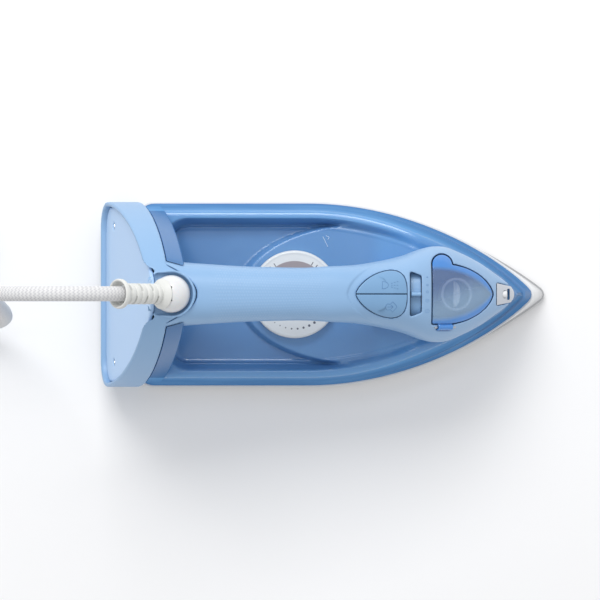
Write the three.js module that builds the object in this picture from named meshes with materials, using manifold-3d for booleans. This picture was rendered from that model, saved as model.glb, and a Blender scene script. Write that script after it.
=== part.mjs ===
// A household steam iron with a ball-jointed mains lead. Millimetres, +Z up, +X towards the tip.
// The origin is on the ironing surface, midway between the heel's rear edge and the tip.
import * as THREE from 'three';
import { mergeVertices } from 'three/addons/utils/BufferGeometryUtils.js';
import Module from 'manifold-3d';

const wasm = await Module();
wasm.setup();

// ---------------------------------------------------------------- driving dimensions
const soleLength = 275; // rear edge to tip of the sole plate
const soleWidth = 125;
const crownHeight = 147; // sole to the top of the heel housing
const gap = 0.3; // between pieces that touch
const wall = 2.2; // moulded shells
const running = 0.3; // radial room round anything that turns or slides

const soleThickness = 4.5;
const castingTop = 11;
const lidThickness = 1.5;
const heaterRadius = 3.4;
const heaterInset = 17; // from the sole's edge to the heater's middle line
const steamHoleRadius = 1.3;
const skirtTop = 19.7;
const skirtDeck = 1.5;
const screwRadius = 2;
const screwHeadRadius = 3.6;

const tankJoint = 38; // height of the joint between the two tank shells
const platformHeight = 60;
const pocketDepth = 6; // hand pockets below the dial platform
const dialRadius = 28.5;
const dialThickness = 5.2;
const shaftRadius = 2.5;
const thermostatRadius = 9;

const buttonLength = 32.6;
const buttonHalfWidth = 15;
const buttonTravel = 4;
const pumpRadius = 5.2;
const pumpHeight = 15.5;
const pumpSpacing = 15;
const springWire = 0.6;

const drumRadius = 25.5;
const drumWidth = 6.6;
const drumSpread = 39; // degrees each way from upright
const drumRecess = 4.6; // the drum lies this far under the cover's crown line
const pivotRadius = 1.5;
const rodRadius = 1.8;

const doorHalfWidth = 19.3;
const doorLength = 42.5;
const hingePinRadius = 0.8;
const knuckleRadius = 2;
const doorRoom = 0.75; // round the door's edge
const doorSwing = 0.4; // more of it beside the hinge
const funnelRadius = 10.5;
const funnelWall = 1.5;

const ballRadius = 11.5;
const guardNeckRadius = 4.2;
const guardLength = 43; // ball centre to the mouth of the cord guard
const guardMouthRadius = 9;
const guardAngle = 45; // degrees above level at rest
const tiltDown = 10; // degrees the guard tips each way from rest
const tiltUp = 25;

const cordDiameter = 9;
const coilRadius = 59; // middle line of the outermost turn
const coilTurnsPerLayer = 2.5;
const cordPitch = 9.2; // between neighbouring turns
const plugRadius = 18;
const plugLength = 34;
const plugPinRadius = 2.4;
const plugPinLength = 19;
const plugPinSpacing = 19;

// Station tables below are drawn for a 275 x 125 x 147 iron and stretch with the three overall sizes.
const lengthwise = (x) => (x * soleLength) / 275;
const crosswise = (y) => (y * soleWidth) / 125;
const upward = (z) => (z * crownHeight) / 147;

// ---------------------------------------------------------------- finishes
const finish = (color, roughness, metalness = 0) => ({ color, roughness, metalness });
const matteBlue = finish(0x97bde4, 0.55);
const paleBlue = finish(0xb4d8fc, 0.6);
const tankBlue = finish(0x5983b4, 0.15);
const doorBlue = finish(0x5f97d6, 0.12);
const white = finish(0xe8e9ea, 0.35);
const paleGrey = finish(0xcfd3d8, 0.3);
const darkPlastic = finish(0x35383c, 0.5);
const castMetal = finish(0xb4b5b7, 0.35, 0.9);
const steel = finish(0xc4c6c9, 0.3, 1);
const brass = finish(0xc6a350, 0.3, 1);
const rubber = finish(0x9aa0a8, 0.8);
const cordGrey = finish(0xe4e4e6, 0.9);
const copper = finish(0xa8502f, 0.5);
const earthGreen = finish(0x7f9c2c, 0.5);
const leadBlue = finish(0x2c5c9c, 0.5);

// ---------------------------------------------------------------- shape helpers
// A smooth function through pairs [x, value], level beyond its two ends.
function profile(pairs) {
  const slopes = pairs.map((pair, i) => {
    const before = pairs[Math.max(i - 1, 0)];
    const after = pairs[Math.min(i + 1, pairs.length - 1)];
    return (after[1] - before[1]) / (after[0] - before[0]);
  });
  return (x) => {
    if (x <= pairs[0][0]) return pairs[0][1];
    const last = pairs.length - 1;
    if (x >= pairs[last][0]) return pairs[last][1];
    const i = pairs.findIndex((pair) => pair[0] > x) - 1;
    const span = pairs[i + 1][0] - pairs[i][0];
    const t = (x - pairs[i][0]) / span;
    const start = pairs[i][1] * (2 * t ** 3 - 3 * t ** 2 + 1);
    const end = pairs[i + 1][1] * (3 * t ** 2 - 2 * t ** 3);
    const leaving = slopes[i] * span * (t ** 3 - 2 * t ** 2 + t);
    const arriving = slopes[i + 1] * span * (t ** 3 - t ** 2);
    return start + end + leaving + arriving;
  };
}

function steps(from, to, count) {
  return Array.from({ length: count + 1 }, (_, i) => from + ((to - from) * i) / count);
}

// A closed skin through rings of points, with a fan over each end.
function loft(rings) {
  const sides = rings[0].length;
  const positions = rings.flat();
  const faces = [];
  for (let r = 0; r < rings.length - 1; r++) {
    for (let s = 0; s < sides; s++) {
      const a = r * sides + s;
      const b = r * sides + ((s + 1) % sides);
      faces.push(a, b, b + sides, a, b + sides, a + sides);
    }
  }
  const lastStart = (rings.length - 1) * sides;
  for (const [ring, start, reversed] of [[rings[0], 0, true], [rings.at(-1), lastStart, false]]) {
    const middle = new THREE.Vector3();
    ring.forEach((point) => middle.addScaledVector(point, 1 / sides));
    positions.push(middle);
    for (let s = 0; s < sides; s++) {
      const a = start + s;
      const b = start + ((s + 1) % sides);
      faces.push(positions.length - 1, reversed ? b : a, reversed ? a : b);
    }
  }
  return new THREE.BufferGeometry().setFromPoints(positions).setIndex(faces);
}

// A closed geometry as a solid for joining and cutting, whichever way its faces were wound.
function solid(geometry) {
  const bare = geometry.clone();
  bare.deleteAttribute('normal');
  bare.deleteAttribute('uv');
  const merged = mergeVertices(bare, 1e-4);
  const build = (triVerts) => {
    const vertProperties = merged.attributes.position.array;
    return new wasm.Manifold(new wasm.Mesh({ numProp: 3, vertProperties, triVerts }));
  };
  const made = build(Uint32Array.from(merged.index.array));
  return made.volume() > 0 ? made : build(Uint32Array.from(merged.index.array).reverse());
}

function geometryOf(shape) {
  const mesh = shape.getMesh();
  const geometry = new THREE.BufferGeometry();
  geometry.setAttribute('position', new THREE.BufferAttribute(mesh.vertProperties, mesh.numProp));
  geometry.setIndex(new THREE.BufferAttribute(mesh.triVerts, 1));
  return geometry;
}

const joined = (shapes) => shapes.reduce((all, shape) => all.add(shape));

function vector(x, y, z) {
  return new THREE.Vector3(x, y, z);
}

// A round bar from one point to another; a second radius makes it a cone.
function bar(radius, start, end, sides = 16, endRadius = radius) {
  const axis = end.clone().sub(start);
  const shape = new THREE.CylinderGeometry(endRadius, radius, axis.length(), sides);
  const turn = new THREE.Quaternion().setFromUnitVectors(vector(0, 1, 0), axis.normalize());
  const middle = start.clone().add(end).multiplyScalar(0.5);
  return solid(shape.applyQuaternion(turn).translate(middle.x, middle.y, middle.z));
}

const post = (radius, x, y, from, to, sides = 16, endRadius = radius) =>
  bar(radius, vector(x, y, from), vector(x, y, to), sides, endRadius);

function block(from, to) {
  const size = to.clone().sub(from);
  const middle = from.clone().add(to).multiplyScalar(0.5);
  return solid(new THREE.BoxGeometry(size.x, size.y, size.z).translate(middle.x, middle.y, middle.z));
}

// A flat outline in x and y, raised from one height to another.
function raised(points, from, to) {
  const shape = new THREE.Shape(points.map(([x, y]) => new THREE.Vector2(x, y)));
  const geometry = new THREE.ExtrudeGeometry(shape, { depth: to - from, bevelEnabled: false });
  return solid(geometry.translate(0, 0, from));
}

// A side outline in x and z, carried across from -half to +half in y.
function across(points, half) {
  const shape = new THREE.Shape(points.map(([x, z]) => new THREE.Vector2(x, z)));
  const geometry = new THREE.ExtrudeGeometry(shape, { depth: 2 * half, bevelEnabled: false });
  return solid(geometry.rotateX(Math.PI / 2).translate(0, half, 0));
}

// A round tube along a smooth line through points.
function tube(points, radius, count, sides = 8) {
  const circle = new THREE.Shape();
  for (let s = 0; s < sides; s++) {
    const turn = (2 * Math.PI * s) / sides;
    circle[s ? 'lineTo' : 'moveTo'](radius * Math.cos(turn), radius * Math.sin(turn));
  }
  const extrudePath = new THREE.CatmullRomCurve3(points, false, 'centripetal');
  return solid(new THREE.ExtrudeGeometry(circle, { steps: count, extrudePath, bevelEnabled: false }));
}

const iron = new THREE.Group();

function piece(name, shape, { color, roughness, metalness }) {
  const material = new THREE.MeshStandardMaterial({ color, roughness, metalness });
  const mesh = new THREE.Mesh(shape.isBufferGeometry ? shape : geometryOf(shape), material);
  mesh.name = name;
  iron.add(mesh);
  return mesh;
}

// ---------------------------------------------------------------- plan outlines of sole, skirt and tank
const outlineSteps = 10;
const cornerSteps = 3;

// Half width at x: straight sides from the heel, drawn in by a power curve to the tip.
function flank({ half, shoulder, tip, bow, taper }, x) {
  if (x <= shoulder) return half;
  return half * (1 - Math.min(1, (x - shoulder) / (tip - shoulder)) ** bow) ** taper;
}

// The closed outline, anticlockwise from the tip, at one height and drawn in by an inset.
function outline(plan, z, inset = 0) {
  const inner = { ...plan, half: plan.half - inset, tip: plan.tip - 1.5 * inset };
  const corner = Math.max(plan.corner - inset, 1);
  const cornerX = plan.rear + inset + corner;
  const side = [];
  for (let i = 1; i <= outlineSteps; i++) {
    const x = inner.tip - (inner.tip - cornerX) * (i / outlineSteps) ** 1.5;
    side.push([x, flank(inner, x)]);
  }
  for (const turn of steps(90, 180, cornerSteps).slice(1)) {
    const angle = THREE.MathUtils.degToRad(turn);
    side.push([cornerX + corner * Math.cos(angle), inner.half - corner + corner * Math.sin(angle)]);
  }
  const mirrored = side.map(([x, y]) => [x, -y]).reverse();
  return [[inner.tip, 0], ...side, ...mirrored].map(([x, y]) => vector(x, y, z));
}

const solePlan = {
  half: soleWidth / 2,
  rear: lengthwise(-125),
  shoulder: lengthwise(-10),
  tip: lengthwise(150),
  corner: 12,
  bow: 1.85,
  taper: 0.93,
};

// The tank leans in as it rises, and its rear face follows the heel housing's front.
const heelFront = (z) => lengthwise(-129.5) + 0.237 * z;
const heelRear = (z) => lengthwise(-154.4) + 0.315 * z;
function tankPlan(z) {
  return {
    half: crosswise(61 - 0.141 * (z - 20)),
    rear: heelFront(z) + 1,
    shoulder: lengthwise(-10),
    tip: lengthwise(138.5 - 0.35 * (z - 20)),
    corner: 10,
    bow: 1.95,
    taper: 0.85,
  };
}

function tankLoft(heights, inset) {
  return solid(loft(heights.map((z) => outline(tankPlan(z), z, inset))));
}

// ---------------------------------------------------------------- sole, heater and steam chamber
const dialX = lengthwise(-19);
const valveX = lengthwise(57);
const castingInset = 9;
const chamberFloor = 6;
const chamberPlan = {
  ...solePlan,
  half: solePlan.half - heaterInset - heaterRadius - 6,
  rear: lengthwise(-85),
  tip: lengthwise(112),
};
const heaterZ = castingTop - heaterRadius - 0.1;
const heaterX = [-95, -50, -5, 35, 68, 94].map(lengthwise);
const heaterEndX = lengthwise(-107);
const heaterEndY = solePlan.half - heaterInset - 2.5;
const heaterSide = [
  vector(heaterEndX, heaterEndY, castingTop + 3.3),
  vector(heaterEndX + 0.5, heaterEndY, castingTop),
  vector(heaterEndX + 4, heaterEndY + 2, heaterZ + 0.3),
  ...heaterX.map((x) => vector(x, flank(solePlan, x) - heaterInset, heaterZ)),
];
const heaterLine = [
  ...heaterSide,
  vector(lengthwise(109), 0, heaterZ),
  ...heaterSide.map((point) => vector(point.x, -point.y, point.z)).reverse(),
];
const heaterSteps = 26;

const screwSpots = [
  [lengthwise(-98), crosswise(24)],
  [lengthwise(-98), crosswise(-24)],
  [lengthwise(118), 0],
];
const screwFoot = castingTop - 5;

const soleBody = joined([
  solid(loft([outline(solePlan, 0, 1.2), outline(solePlan, 1.2, 0), outline(solePlan, soleThickness, 0)])),
  solid(loft([outline(solePlan, soleThickness - 1, castingInset), outline(solePlan, castingTop, castingInset)])),
]);
const steamHoles = [];
for (const x of [-70, -35, 0, 35, 65].map(lengthwise)) {
  const y = 0.42 * flank(solePlan, x);
  steamHoles.push(post(steamHoleRadius, x, y, -1, chamberFloor + 1, 6));
  steamHoles.push(post(steamHoleRadius, x, -y, -1, chamberFloor + 1, 6));
}
steamHoles.push(post(steamHoleRadius, lengthwise(94), 0, -1, chamberFloor + 1, 6));
const soleCuts = joined([
  solid(loft([outline(chamberPlan, chamberFloor), outline(chamberPlan, castingTop + 1)])),
  tube(heaterLine, heaterRadius + 0.45, heaterSteps),
  ...steamHoles,
  ...screwSpots.map(([x, y]) => post(screwRadius + running, x, y, screwFoot - gap, castingTop + 1, 12)),
]);
piece('soleplate', soleBody.subtract(soleCuts), castMetal);
piece('heating_element', tube(heaterLine, heaterRadius, heaterSteps), steel);

const lidBottom = castingTop + gap;
const lidTop = lidBottom + lidThickness;
const lidPlan = {
  ...chamberPlan,
  half: chamberPlan.half + 4,
  rear: chamberPlan.rear - 4,
  tip: chamberPlan.tip + 3,
};
const lid = solid(loft([outline(lidPlan, lidBottom), outline(lidPlan, lidTop)]));
const lidHoles = post(rodRadius + 2, valveX, 0, lidBottom - 1, lidTop + 1);
piece('steam_chamber_lid', lid.subtract(lidHoles), steel);

// ---------------------------------------------------------------- white skirt that shields the shells
const deckTop = skirtTop - 1.5;
const skirtFoot = soleThickness + gap;
const wireNotchHalf = 36;
const skirtOuter = solid(loft([outline(solePlan, skirtFoot, 0.8), outline(tankPlan(20), skirtTop, -1.2)]));
const skirtInner = solid(loft([
  outline(solePlan, skirtFoot - 1, 3),
  outline(tankPlan(20), deckTop - skirtDeck, 1.6),
]));
const deckRecess = solid(loft([outline(tankPlan(20), deckTop, 3), outline(tankPlan(20), skirtTop + 1, 3)]));
const wireNotch = block(
  vector(lengthwise(-140), -crosswise(wireNotchHalf), castingTop - 4),
  vector(lengthwise(-103), crosswise(wireNotchHalf), skirtTop + 1),
);
const skirtCuts = joined([
  skirtInner,
  deckRecess,
  wireNotch,
  post(thermostatRadius + 1.5, dialX, 0, castingTop, skirtTop + 1, 24),
  post(rodRadius + 2.5, valveX, 0, castingTop, skirtTop + 1),
  ...screwSpots.map(([x, y]) => post(screwRadius + running, x, y, castingTop, skirtTop + 1, 12)),
]);
piece('heat_shield', skirtOuter.subtract(skirtCuts), white);
screwSpots.forEach(([x, y], i) => {
  const shank = post(screwRadius, x, y, screwFoot, deckTop + 0.5, 12);
  const head = post(screwHeadRadius, x, y, deckTop + gap / 2, deckTop + 1.3, 12);
  piece(`sole_screw_${i + 1}`, shank.add(head), steel);
});

// ---------------------------------------------------------------- thermostat under the dial
const thermostatTop = 30;
const thermostatBase = post(thermostatRadius, dialX, 0, lidTop + gap, thermostatTop - 8, 20);
const thermostatNeck = post(thermostatRadius - 4, dialX, 0, thermostatTop - 9, thermostatTop, 16);
piece('thermostat', thermostatBase.add(thermostatNeck), steel);
const dialBottom = upward(platformHeight) + gap;
piece('thermostat_shaft', post(shaftRadius, dialX, 0, thermostatTop + gap, dialBottom - gap, 12), brass);
const fuseRadius = 1.3;
const fuseZ = lidTop + fuseRadius + gap;
const fuseX = lengthwise(-60);
piece('thermal_fuse', bar(fuseRadius, vector(fuseX - 7, 12, fuseZ), vector(fuseX + 7, 12, fuseZ), 8), white);

// ---------------------------------------------------------------- water tank, lower shell
const tankFoot = 20;
const tankWall = 2;
const wellRadius = thermostatRadius + 2;
const tankBase = tankLoft([tankFoot, tankJoint], 0);
const baseHollow = tankLoft([tankFoot + tankWall, tankJoint + 1], tankWall);
const platformUnderside = upward(platformHeight) - tankWall;
const wellOuter = post(wellRadius + tankWall, dialX, 0, tankFoot, platformUnderside - gap, 24);
const wellBore = post(wellRadius, dialX, 0, tankFoot - 1, platformUnderside + 1, 24);
const seatBore = post(rodRadius + 1.7, valveX, 0, tankFoot - 1, tankFoot + 4);
const baseCuts = wellBore.add(seatBore);
piece('tank_base', tankBase.subtract(baseHollow).add(wellOuter).subtract(baseCuts), tankBlue);

// ---------------------------------------------------------------- handle and front cover: one long body
const handleHalf = profile([
  [-112, 23.6], [-95, 20.9], [-87, 19.7], [-71, 18.5], [-51, 17.3], [-30, 16.7], [-12, 16.5], [2.5, 17.4],
  [18, 18.3], [34, 20.9], [49, 24.5], [59, 28.2], [66, 30.2], [71, 30.8], [78, 30.3], [88, 26.6], [101, 20.2],
  [113, 12.1], [121, 5.9], [125.5, 0.6],
].map(([x, y]) => [lengthwise(x), y]));
const handleTop = profile([
  [-112, 146.5], [-95, 146], [-70, 142.5], [-40, 138], [-10, 133.5], [20, 128.5], [40, 123.5], [53, 118.5],
  [62, 113.5], [70, 108], [85, 96], [100, 82], [112, 69.5], [120, 60], [125.5, 54],
].map(([x, z]) => [lengthwise(x), upward(z)]));
const handleSeam = profile([
  [-112, 122], [-70, 121], [-40, 119], [-10, 116], [10, 110], [25, 98], [38, 88], [52, 81], [68, 77.5],
  [90, 69.5], [110, 60.5], [125.5, 53.2],
].map(([x, z]) => [lengthwise(x), upward(z)]));
const gripEnd = lengthwise(38);
const belly = profile([
  [-112, 112], [-95, 112], [-70, 108], [-40, 106.5], [-10, 104], [10, 99], [22, 93], [30, 88], [38, 87.9],
].map(([x, z]) => [lengthwise(x), upward(z)]));
const handleBelly = (x) => (x < gripEnd ? belly(x) : handleSeam(x));
const squareness = 0.8;
const sectionSteps = 8;

// One cross-section at x, drawn in by an inset; openBelow lets a hollow run out of the underside.
function handleSection(x, inset, openBelow) {
  const half = Math.max(handleHalf(x) - inset, 0.3);
  const seam = handleSeam(x);
  const top = Math.max(handleTop(x) - inset, seam + 0.2);
  const open = openBelow && x > lengthwise(30);
  const bottom = open ? handleBelly(x) - 3 : Math.min(handleBelly(x) + inset, seam - 0.1);
  const bend = (value) => Math.sign(value) * Math.abs(value) ** squareness;
  const ring = [];
  for (let i = 0; i < 2 * sectionSteps; i++) {
    const turn = (Math.PI * i) / sectionSteps;
    const rise = bend(Math.sin(turn));
    const reach = rise >= 0 ? top - seam : seam - bottom;
    ring.push(vector(x, half * bend(Math.cos(turn)), seam + reach * rise));
  }
  return ring;
}

function handleLoft(from, to, inset, openBelow = false, count = 24) {
  return solid(loft(steps(from, to, count).map((x) => handleSection(x, inset, openBelow))));
}

// Height of the outer surface at a point in plan.
function coverHeight(x, y) {
  const across01 = Math.min(1, Math.abs(y) / handleHalf(x));
  const share = (1 - across01 ** (2 / squareness)) ** (squareness / 2);
  return handleSeam(x) + (handleTop(x) - handleSeam(x)) * share;
}

const noseX = lengthwise(124.5);
const bodyRear = lengthwise(-112);
const seamEnds = [bodyRear - 5, noseX + 5];
const seamLine = (shift) => steps(...seamEnds, 26).map((x) => [x, handleSeam(x) + shift]);
const sky = crownHeight * 1.5;
const aboveSeam = (lift) => [...seamLine(lift), [seamEnds[1], sky], [seamEnds[0], sky]];
const belowSeam = (drop) => [[seamEnds[0], 0], [seamEnds[1], 0], ...seamLine(-drop).reverse()];
// Where the grip shells meet the heel housing: a tongue shape in plan, blunt towards the tip.
const partingX = (y) => lengthwise(-78.5) - 0.06 * y * y;
const partingLine = (shift) => steps(-30, 30, 16).map((y) => [partingX(y) + shift, y]);
const farAhead = lengthwise(200);
const gripSide = raised([...partingLine(gap / 2), [farAhead, 30], [farAhead, -30]].reverse(), 0, 300);
const heelSide = raised([...partingLine(-gap / 2), [lengthwise(-200), 30], [lengthwise(-200), -30]], 0, 300);

// ---------------------------------------------------------------- openings in the front cover
// The two buttons share one leaf-shaped opening, split along the middle.
const buttonRear = lengthwise(18.8);
function leaf(inset, count = 6) {
  const middle = buttonRear + 0.68 * buttonLength;
  const half = buttonHalfWidth - inset;
  const back = buttonRear + inset;
  const front = buttonRear + buttonLength - inset;
  const rearSide = new THREE.CubicBezierCurve(
    new THREE.Vector2(back, 0),
    new THREE.Vector2(back + 1, 0.55 * half),
    new THREE.Vector2(back + 0.37 * buttonLength, half),
    new THREE.Vector2(middle, half),
  );
  const frontSide = new THREE.CubicBezierCurve(
    new THREE.Vector2(middle, half),
    new THREE.Vector2(front - 0.12 * buttonLength, half),
    new THREE.Vector2(front, 0.5 * half),
    new THREE.Vector2(front, 0),
  );
  const upper = [...rearSide.getPoints(count), ...frontSide.getPoints(count).slice(1)].map((p) => [p.x, p.y]);
  const lower = upper.slice(1, -1).map(([x, y]) => [x, -y]).reverse();
  return [...upper, ...lower].reverse();
}

const slotRear = valveX - 3.8;
const slotFront = valveX + 3.6;
const sliderSlot = [[slotRear, -14.3], [slotFront, -11.5], [slotFront, 11.5], [slotRear, 14.3]];

const doorRear = lengthwise(67);
function doorOutline(inset, count = 8) {
  const half = doorHalfWidth - inset;
  const front = doorRear + doorLength - inset;
  const back = doorRear + inset;
  const curve = new THREE.CubicBezierCurve(
    new THREE.Vector2(back + 0.31 * doorLength, half),
    new THREE.Vector2(back + 0.68 * doorLength, 0.91 * half),
    new THREE.Vector2(front - 0.035 * doorLength, 0.42 * half),
    new THREE.Vector2(front, 0),
  );
  const upper = [[back, half], ...curve.getPoints(count).map((p) => [p.x, p.y])];
  const lower = upper.slice(0, -1).map(([x, y]) => [x, -y]).reverse();
  return [...upper, ...lower].reverse();
}
const nozzleRear = lengthwise(111.5);
const nozzleOutline = (inset) => [
  [nozzleRear + inset, -7.5 + inset],
  [lengthwise(130), -4 + inset],
  [lengthwise(130), 4 - inset],
  [nozzleRear + inset, 7.5 - inset],
];

// The door turns on a pin just under the cover's surface, along its -Y edge.
const hingeY = -doorHalfWidth - 1.6;
const hingeRear = lengthwise(71);
const hingeFront = lengthwise(81);
const hingePoint = (x, past = 0) => {
  const rear = vector(hingeRear, hingeY, coverHeight(hingeRear, hingeY) - 0.9);
  const front = vector(hingeFront, hingeY, coverHeight(hingeFront, hingeY) - 0.9);
  const along = front.clone().sub(rear).normalize();
  const start = x === hingeRear ? rear : front;
  return start.clone().addScaledVector(along, past);
};
const pinRun = [hingePoint(hingeRear, -2.6), hingePoint(hingeFront, 2.6)];

const tallest = crownHeight * 1.3; // above everything, so that a cut runs right through
const outerBody = handleLoft(lengthwise(-104), noseX, 0, false, 28);
const innerBody = handleLoft(lengthwise(-106), noseX - 4, wall, true, 18);
// Everything forward of the heel housing's leaning front.
const aheadOfHeel = across([
  [heelFront(0) + gap, 0],
  [lengthwise(200), 0],
  [lengthwise(200), tallest],
  [heelFront(tallest) + gap, tallest],
], soleWidth);
const shell = outerBody.subtract(innerBody);
const coverCuts = joined([
  raised(leaf(0), upward(60), tallest),
  raised(sliderSlot, upward(95), tallest),
  raised(doorOutline(0), upward(60), tallest),
  raised(doorOutline(0), upward(60), tallest).translate([0, -doorSwing, 0]),
  raised(doorOutline(0), upward(60), tallest).translate([0, doorSwing / 2, 0]),
  raised(nozzleOutline(0), upward(30), tallest),
  bar(knuckleRadius + 0.4, hingePoint(hingeRear, -gap), hingePoint(hingeFront, gap), 12),
  bar(hingePinRadius + running, hingePoint(hingeRear, -3), hingePoint(hingeFront, 3), 8),
]);
const gripShell = shell.intersect(aheadOfHeel);
const topShell = gripShell.intersect(gripSide).intersect(across(aboveSeam(gap / 2), 60));
piece('handle_top', topShell.subtract(coverCuts), matteBlue);
const beforeCover = block(vector(lengthwise(-130), -60, 0), vector(gripEnd, 60, tallest));
const lowerGrip = gripShell.intersect(across(belowSeam(gap / 2), 60)).intersect(beforeCover);
const lowerFloor = block(
  vector(lengthwise(26), -9 - pumpSpacing / 2, upward(88)),
  vector(gripEnd - gap, 9 + pumpSpacing / 2, upward(88) + wall),
);
piece('handle_bottom', lowerGrip.add(lowerFloor.intersect(outerBody)), matteBlue);

// ---------------------------------------------------------------- water tank, upper shell
const roof = profile([
  [-120, 66], [0, 66], [30, 68], [50, 72.5], [68, 76], [90, 68], [110, 59.3], [124.5, 52.4], [140, 46],
].map(([x, z]) => [lengthwise(x), upward(z)]));
const roofPrism = (drop, from, to, floor) => {
  const line = steps(from, to, 26).map((x) => [x, roof(x) - drop]);
  return across([[from, floor], [to, floor], ...line.reverse()], soleWidth);
};
const pocketFloor = upward(platformHeight) - pocketDepth;
const rimInset = 5;
const openingRear = lengthwise(-104);
const openingFront = lengthwise(30);
const rimPlan = {
  half: crosswise(61 - 0.141 * 46) - rimInset,
  rear: openingRear,
  shoulder: lengthwise(-10),
  tip: lengthwise(110),
  corner: 16,
  bow: 1.95,
  taper: 0.85,
};
const pocketEnd = raised(
  [[lengthwise(-130), -80], [openingFront, -80], [openingFront, 80], [lengthwise(-130), 80]], 0, tallest,
);
const pocketRings = (floor) => [
  outline(rimPlan, floor, 3),
  outline(rimPlan, upward(66), 0),
  outline(rimPlan, upward(90), 0),
];
const ridgeOutline = steps(0, 360, 30).slice(0, -1).map((turn) => {
  const angle = THREE.MathUtils.degToRad(turn);
  return [lengthwise(24) + lengthwise(80) * Math.cos(angle), crosswise(46) * Math.sin(angle)];
});
const platformCut = solid(loft(pocketRings(upward(platformHeight)))).intersect(pocketEnd);
const pocketCut = solid(loft(pocketRings(pocketFloor)))
  .intersect(pocketEnd)
  .subtract(raised(ridgeOutline, 0, tallest));

// The heel's arch: a wide foot with rounded corners, drawn in to a crown. Planes lean with the height.
const archBottom = upward(14);
const archShoulder = upward(30);
function archRing(plane, inset, shift) {
  const half = crosswise(61.5) - inset;
  const crown = crownHeight - inset;
  const bottom = archBottom + inset;
  const right = [];
  for (const turn of steps(0, 90, 4)) {
    const angle = THREE.MathUtils.degToRad(turn);
    const cornerY = half - 16 * (1 - Math.sin(angle));
    right.push([cornerY, archShoulder - (archShoulder - bottom) * Math.cos(angle)]);
  }
  for (const rise of steps(0, 1, 9).slice(1)) {
    const eased = 1 - (1 - rise) ** 1.7;
    const z = archShoulder + (crown - archShoulder) * eased;
    right.push([half * (1 - eased ** 1.6) ** 0.6, z]);
  }
  const left = right.slice(0, -1).map(([y, z]) => [-y, z]).reverse();
  return [...right, ...left].map(([y, z]) => vector(plane(z) + shift, y, z));
}
const archLoft = (rear, rearShift, front, frontShift, inset) =>
  solid(loft([archRing(rear, inset, rearShift), archRing(front, inset, frontShift)]));

const openingFoot = upward(66);
// A clear arch stands in front of the heel housing and runs up beside the handle.
const postDepth = 10.5;
const handleClear = handleLoft(lengthwise(-112), lengthwise(-40), -2 * gap, false, 14)
  .intersect(block(vector(lengthwise(-130), -80, belly(lengthwise(-95)) - 2 * gap), vector(0, 80, tallest)));
const postTop = upward(138);
const heelPost = archLoft(heelFront, gap, heelFront, postDepth, 1)
  .intersect(block(vector(lengthwise(-130), -80, openingFoot - 14), vector(0, 80, postTop)))
  .subtract(handleClear);

// The neck carries the front cover: it rises from the tank under the cover's whole outline.
const neckRear = lengthwise(30.6);
function neckRing(x, inset, drop) {
  const half = Math.max(handleHalf(x) - inset, 0.4);
  const top = Math.min(handleSeam(x), handleBelly(x)) - gap - drop;
  return [
    vector(x, half, tankJoint + 4),
    vector(x, half, top),
    vector(x, -half, top),
    vector(x, -half, tankJoint + 4),
  ];
}
const neckFront = lengthwise(103);
const neck = solid(loft(steps(neckRear, neckFront, 12).map((x) => neckRing(x, 0.4, 0))));
const neckHollowAt = steps(neckRear + tankWall, neckFront - 4, 10);
const neckHollow = solid(loft(neckHollowAt.map((x) => neckRing(x, 3, tankWall))));

const tankHeights = [tankJoint + gap, upward(66), upward(90)];
const tankOuter = tankLoft(tankHeights, 0).intersect(roofPrism(0, lengthwise(-125), lengthwise(140), 0));
const lowRoom = tankLoft([tankJoint, pocketFloor - tankWall], tankWall);
const frontRoom = tankLoft([tankJoint, upward(66), upward(90)], 5)
  .intersect(roofPrism(tankWall, openingFront + tankWall, lengthwise(140), 0));
const dialRoom = post(dialRadius + 3, dialX, 0, tankJoint, platformUnderside, 28);
const tankRoom = joined([lowRoom, frontRoom, dialRoom, neckHollow]);
const neckDeck = handleSeam(valveX - 6);
const funnelX = lengthwise(84);
const tankCuts = joined([
  tankRoom,
  post(shaftRadius + running, dialX, 0, platformUnderside - 1, upward(platformHeight) + 1, 12),
  post(rodRadius + running, valveX, 0, tankJoint, neckDeck + 5, 12),
  post(funnelRadius + gap, funnelX, 0, tankJoint, tallest, 24),
]);
const tankTop = tankOuter.subtract(platformCut).subtract(pocketCut).add(heelPost).add(neck).subtract(tankCuts);
piece('tank_top', tankTop, tankBlue);

// ---------------------------------------------------------------- heel housing, ball socket, back cover
const ballX = lengthwise(-94);
const ballZ = crownHeight - 4;
const ballCentre = vector(ballX, 0, ballZ);
const ball = (radius, detail = 16) =>
  solid(new THREE.SphereGeometry(radius, detail, detail / 2).rotateX(Math.PI / 2)).translate([ballX, 0, ballZ]);
const bandWall = 3;
const coverRecess = 3.2;
const coverThickness = 2.5;
const heelBand = archLoft(heelRear, 0, heelFront, 0, 0);
const heelRoom = archLoft(heelRear, -1, heelFront, 2, bandWall);
const archForward = archLoft(heelRear, 0, () => lengthwise(-70), 0, 0);
const tongue = handleLoft(lengthwise(-130), lengthwise(-70), 0, false, 18)
  .intersect(heelSide)
  .intersect(archForward)
  .intersect(across(aboveSeam(gap / 2), 60));
const tongueRoom = handleLoft(lengthwise(-131), lengthwise(-69), wall, false, 18);
const roomBehindCover = archLoft(heelRear, coverRecess + coverThickness + gap, () => lengthwise(-60), 0, 0);
const bossRadius = ballRadius + 4;
const openingRadius = ballRadius + 1.5;
const recessRadius = ballRadius + 4.2;
const rearRecess = post(recessRadius, ballX, 0, ballZ - 3, tallest, 20)
  .intersect(block(vector(ballX - 30, -30, 0), vector(ballX - 2, 30, tallest)));
const socketCup = post(bossRadius, ballX, 0, ballZ - ballRadius - 2.5, ballZ + 2, 20).intersect(roomBehindCover);
const socketCuts = joined([
  ball(ballRadius + running + 0.15, 16),
  post(openingRadius, ballX, 0, ballZ - 3, tallest, 20),
  rearRecess,
  post(4.5, ballX, 0, ballZ - ballRadius - 6, ballZ, 12),
]);
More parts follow.
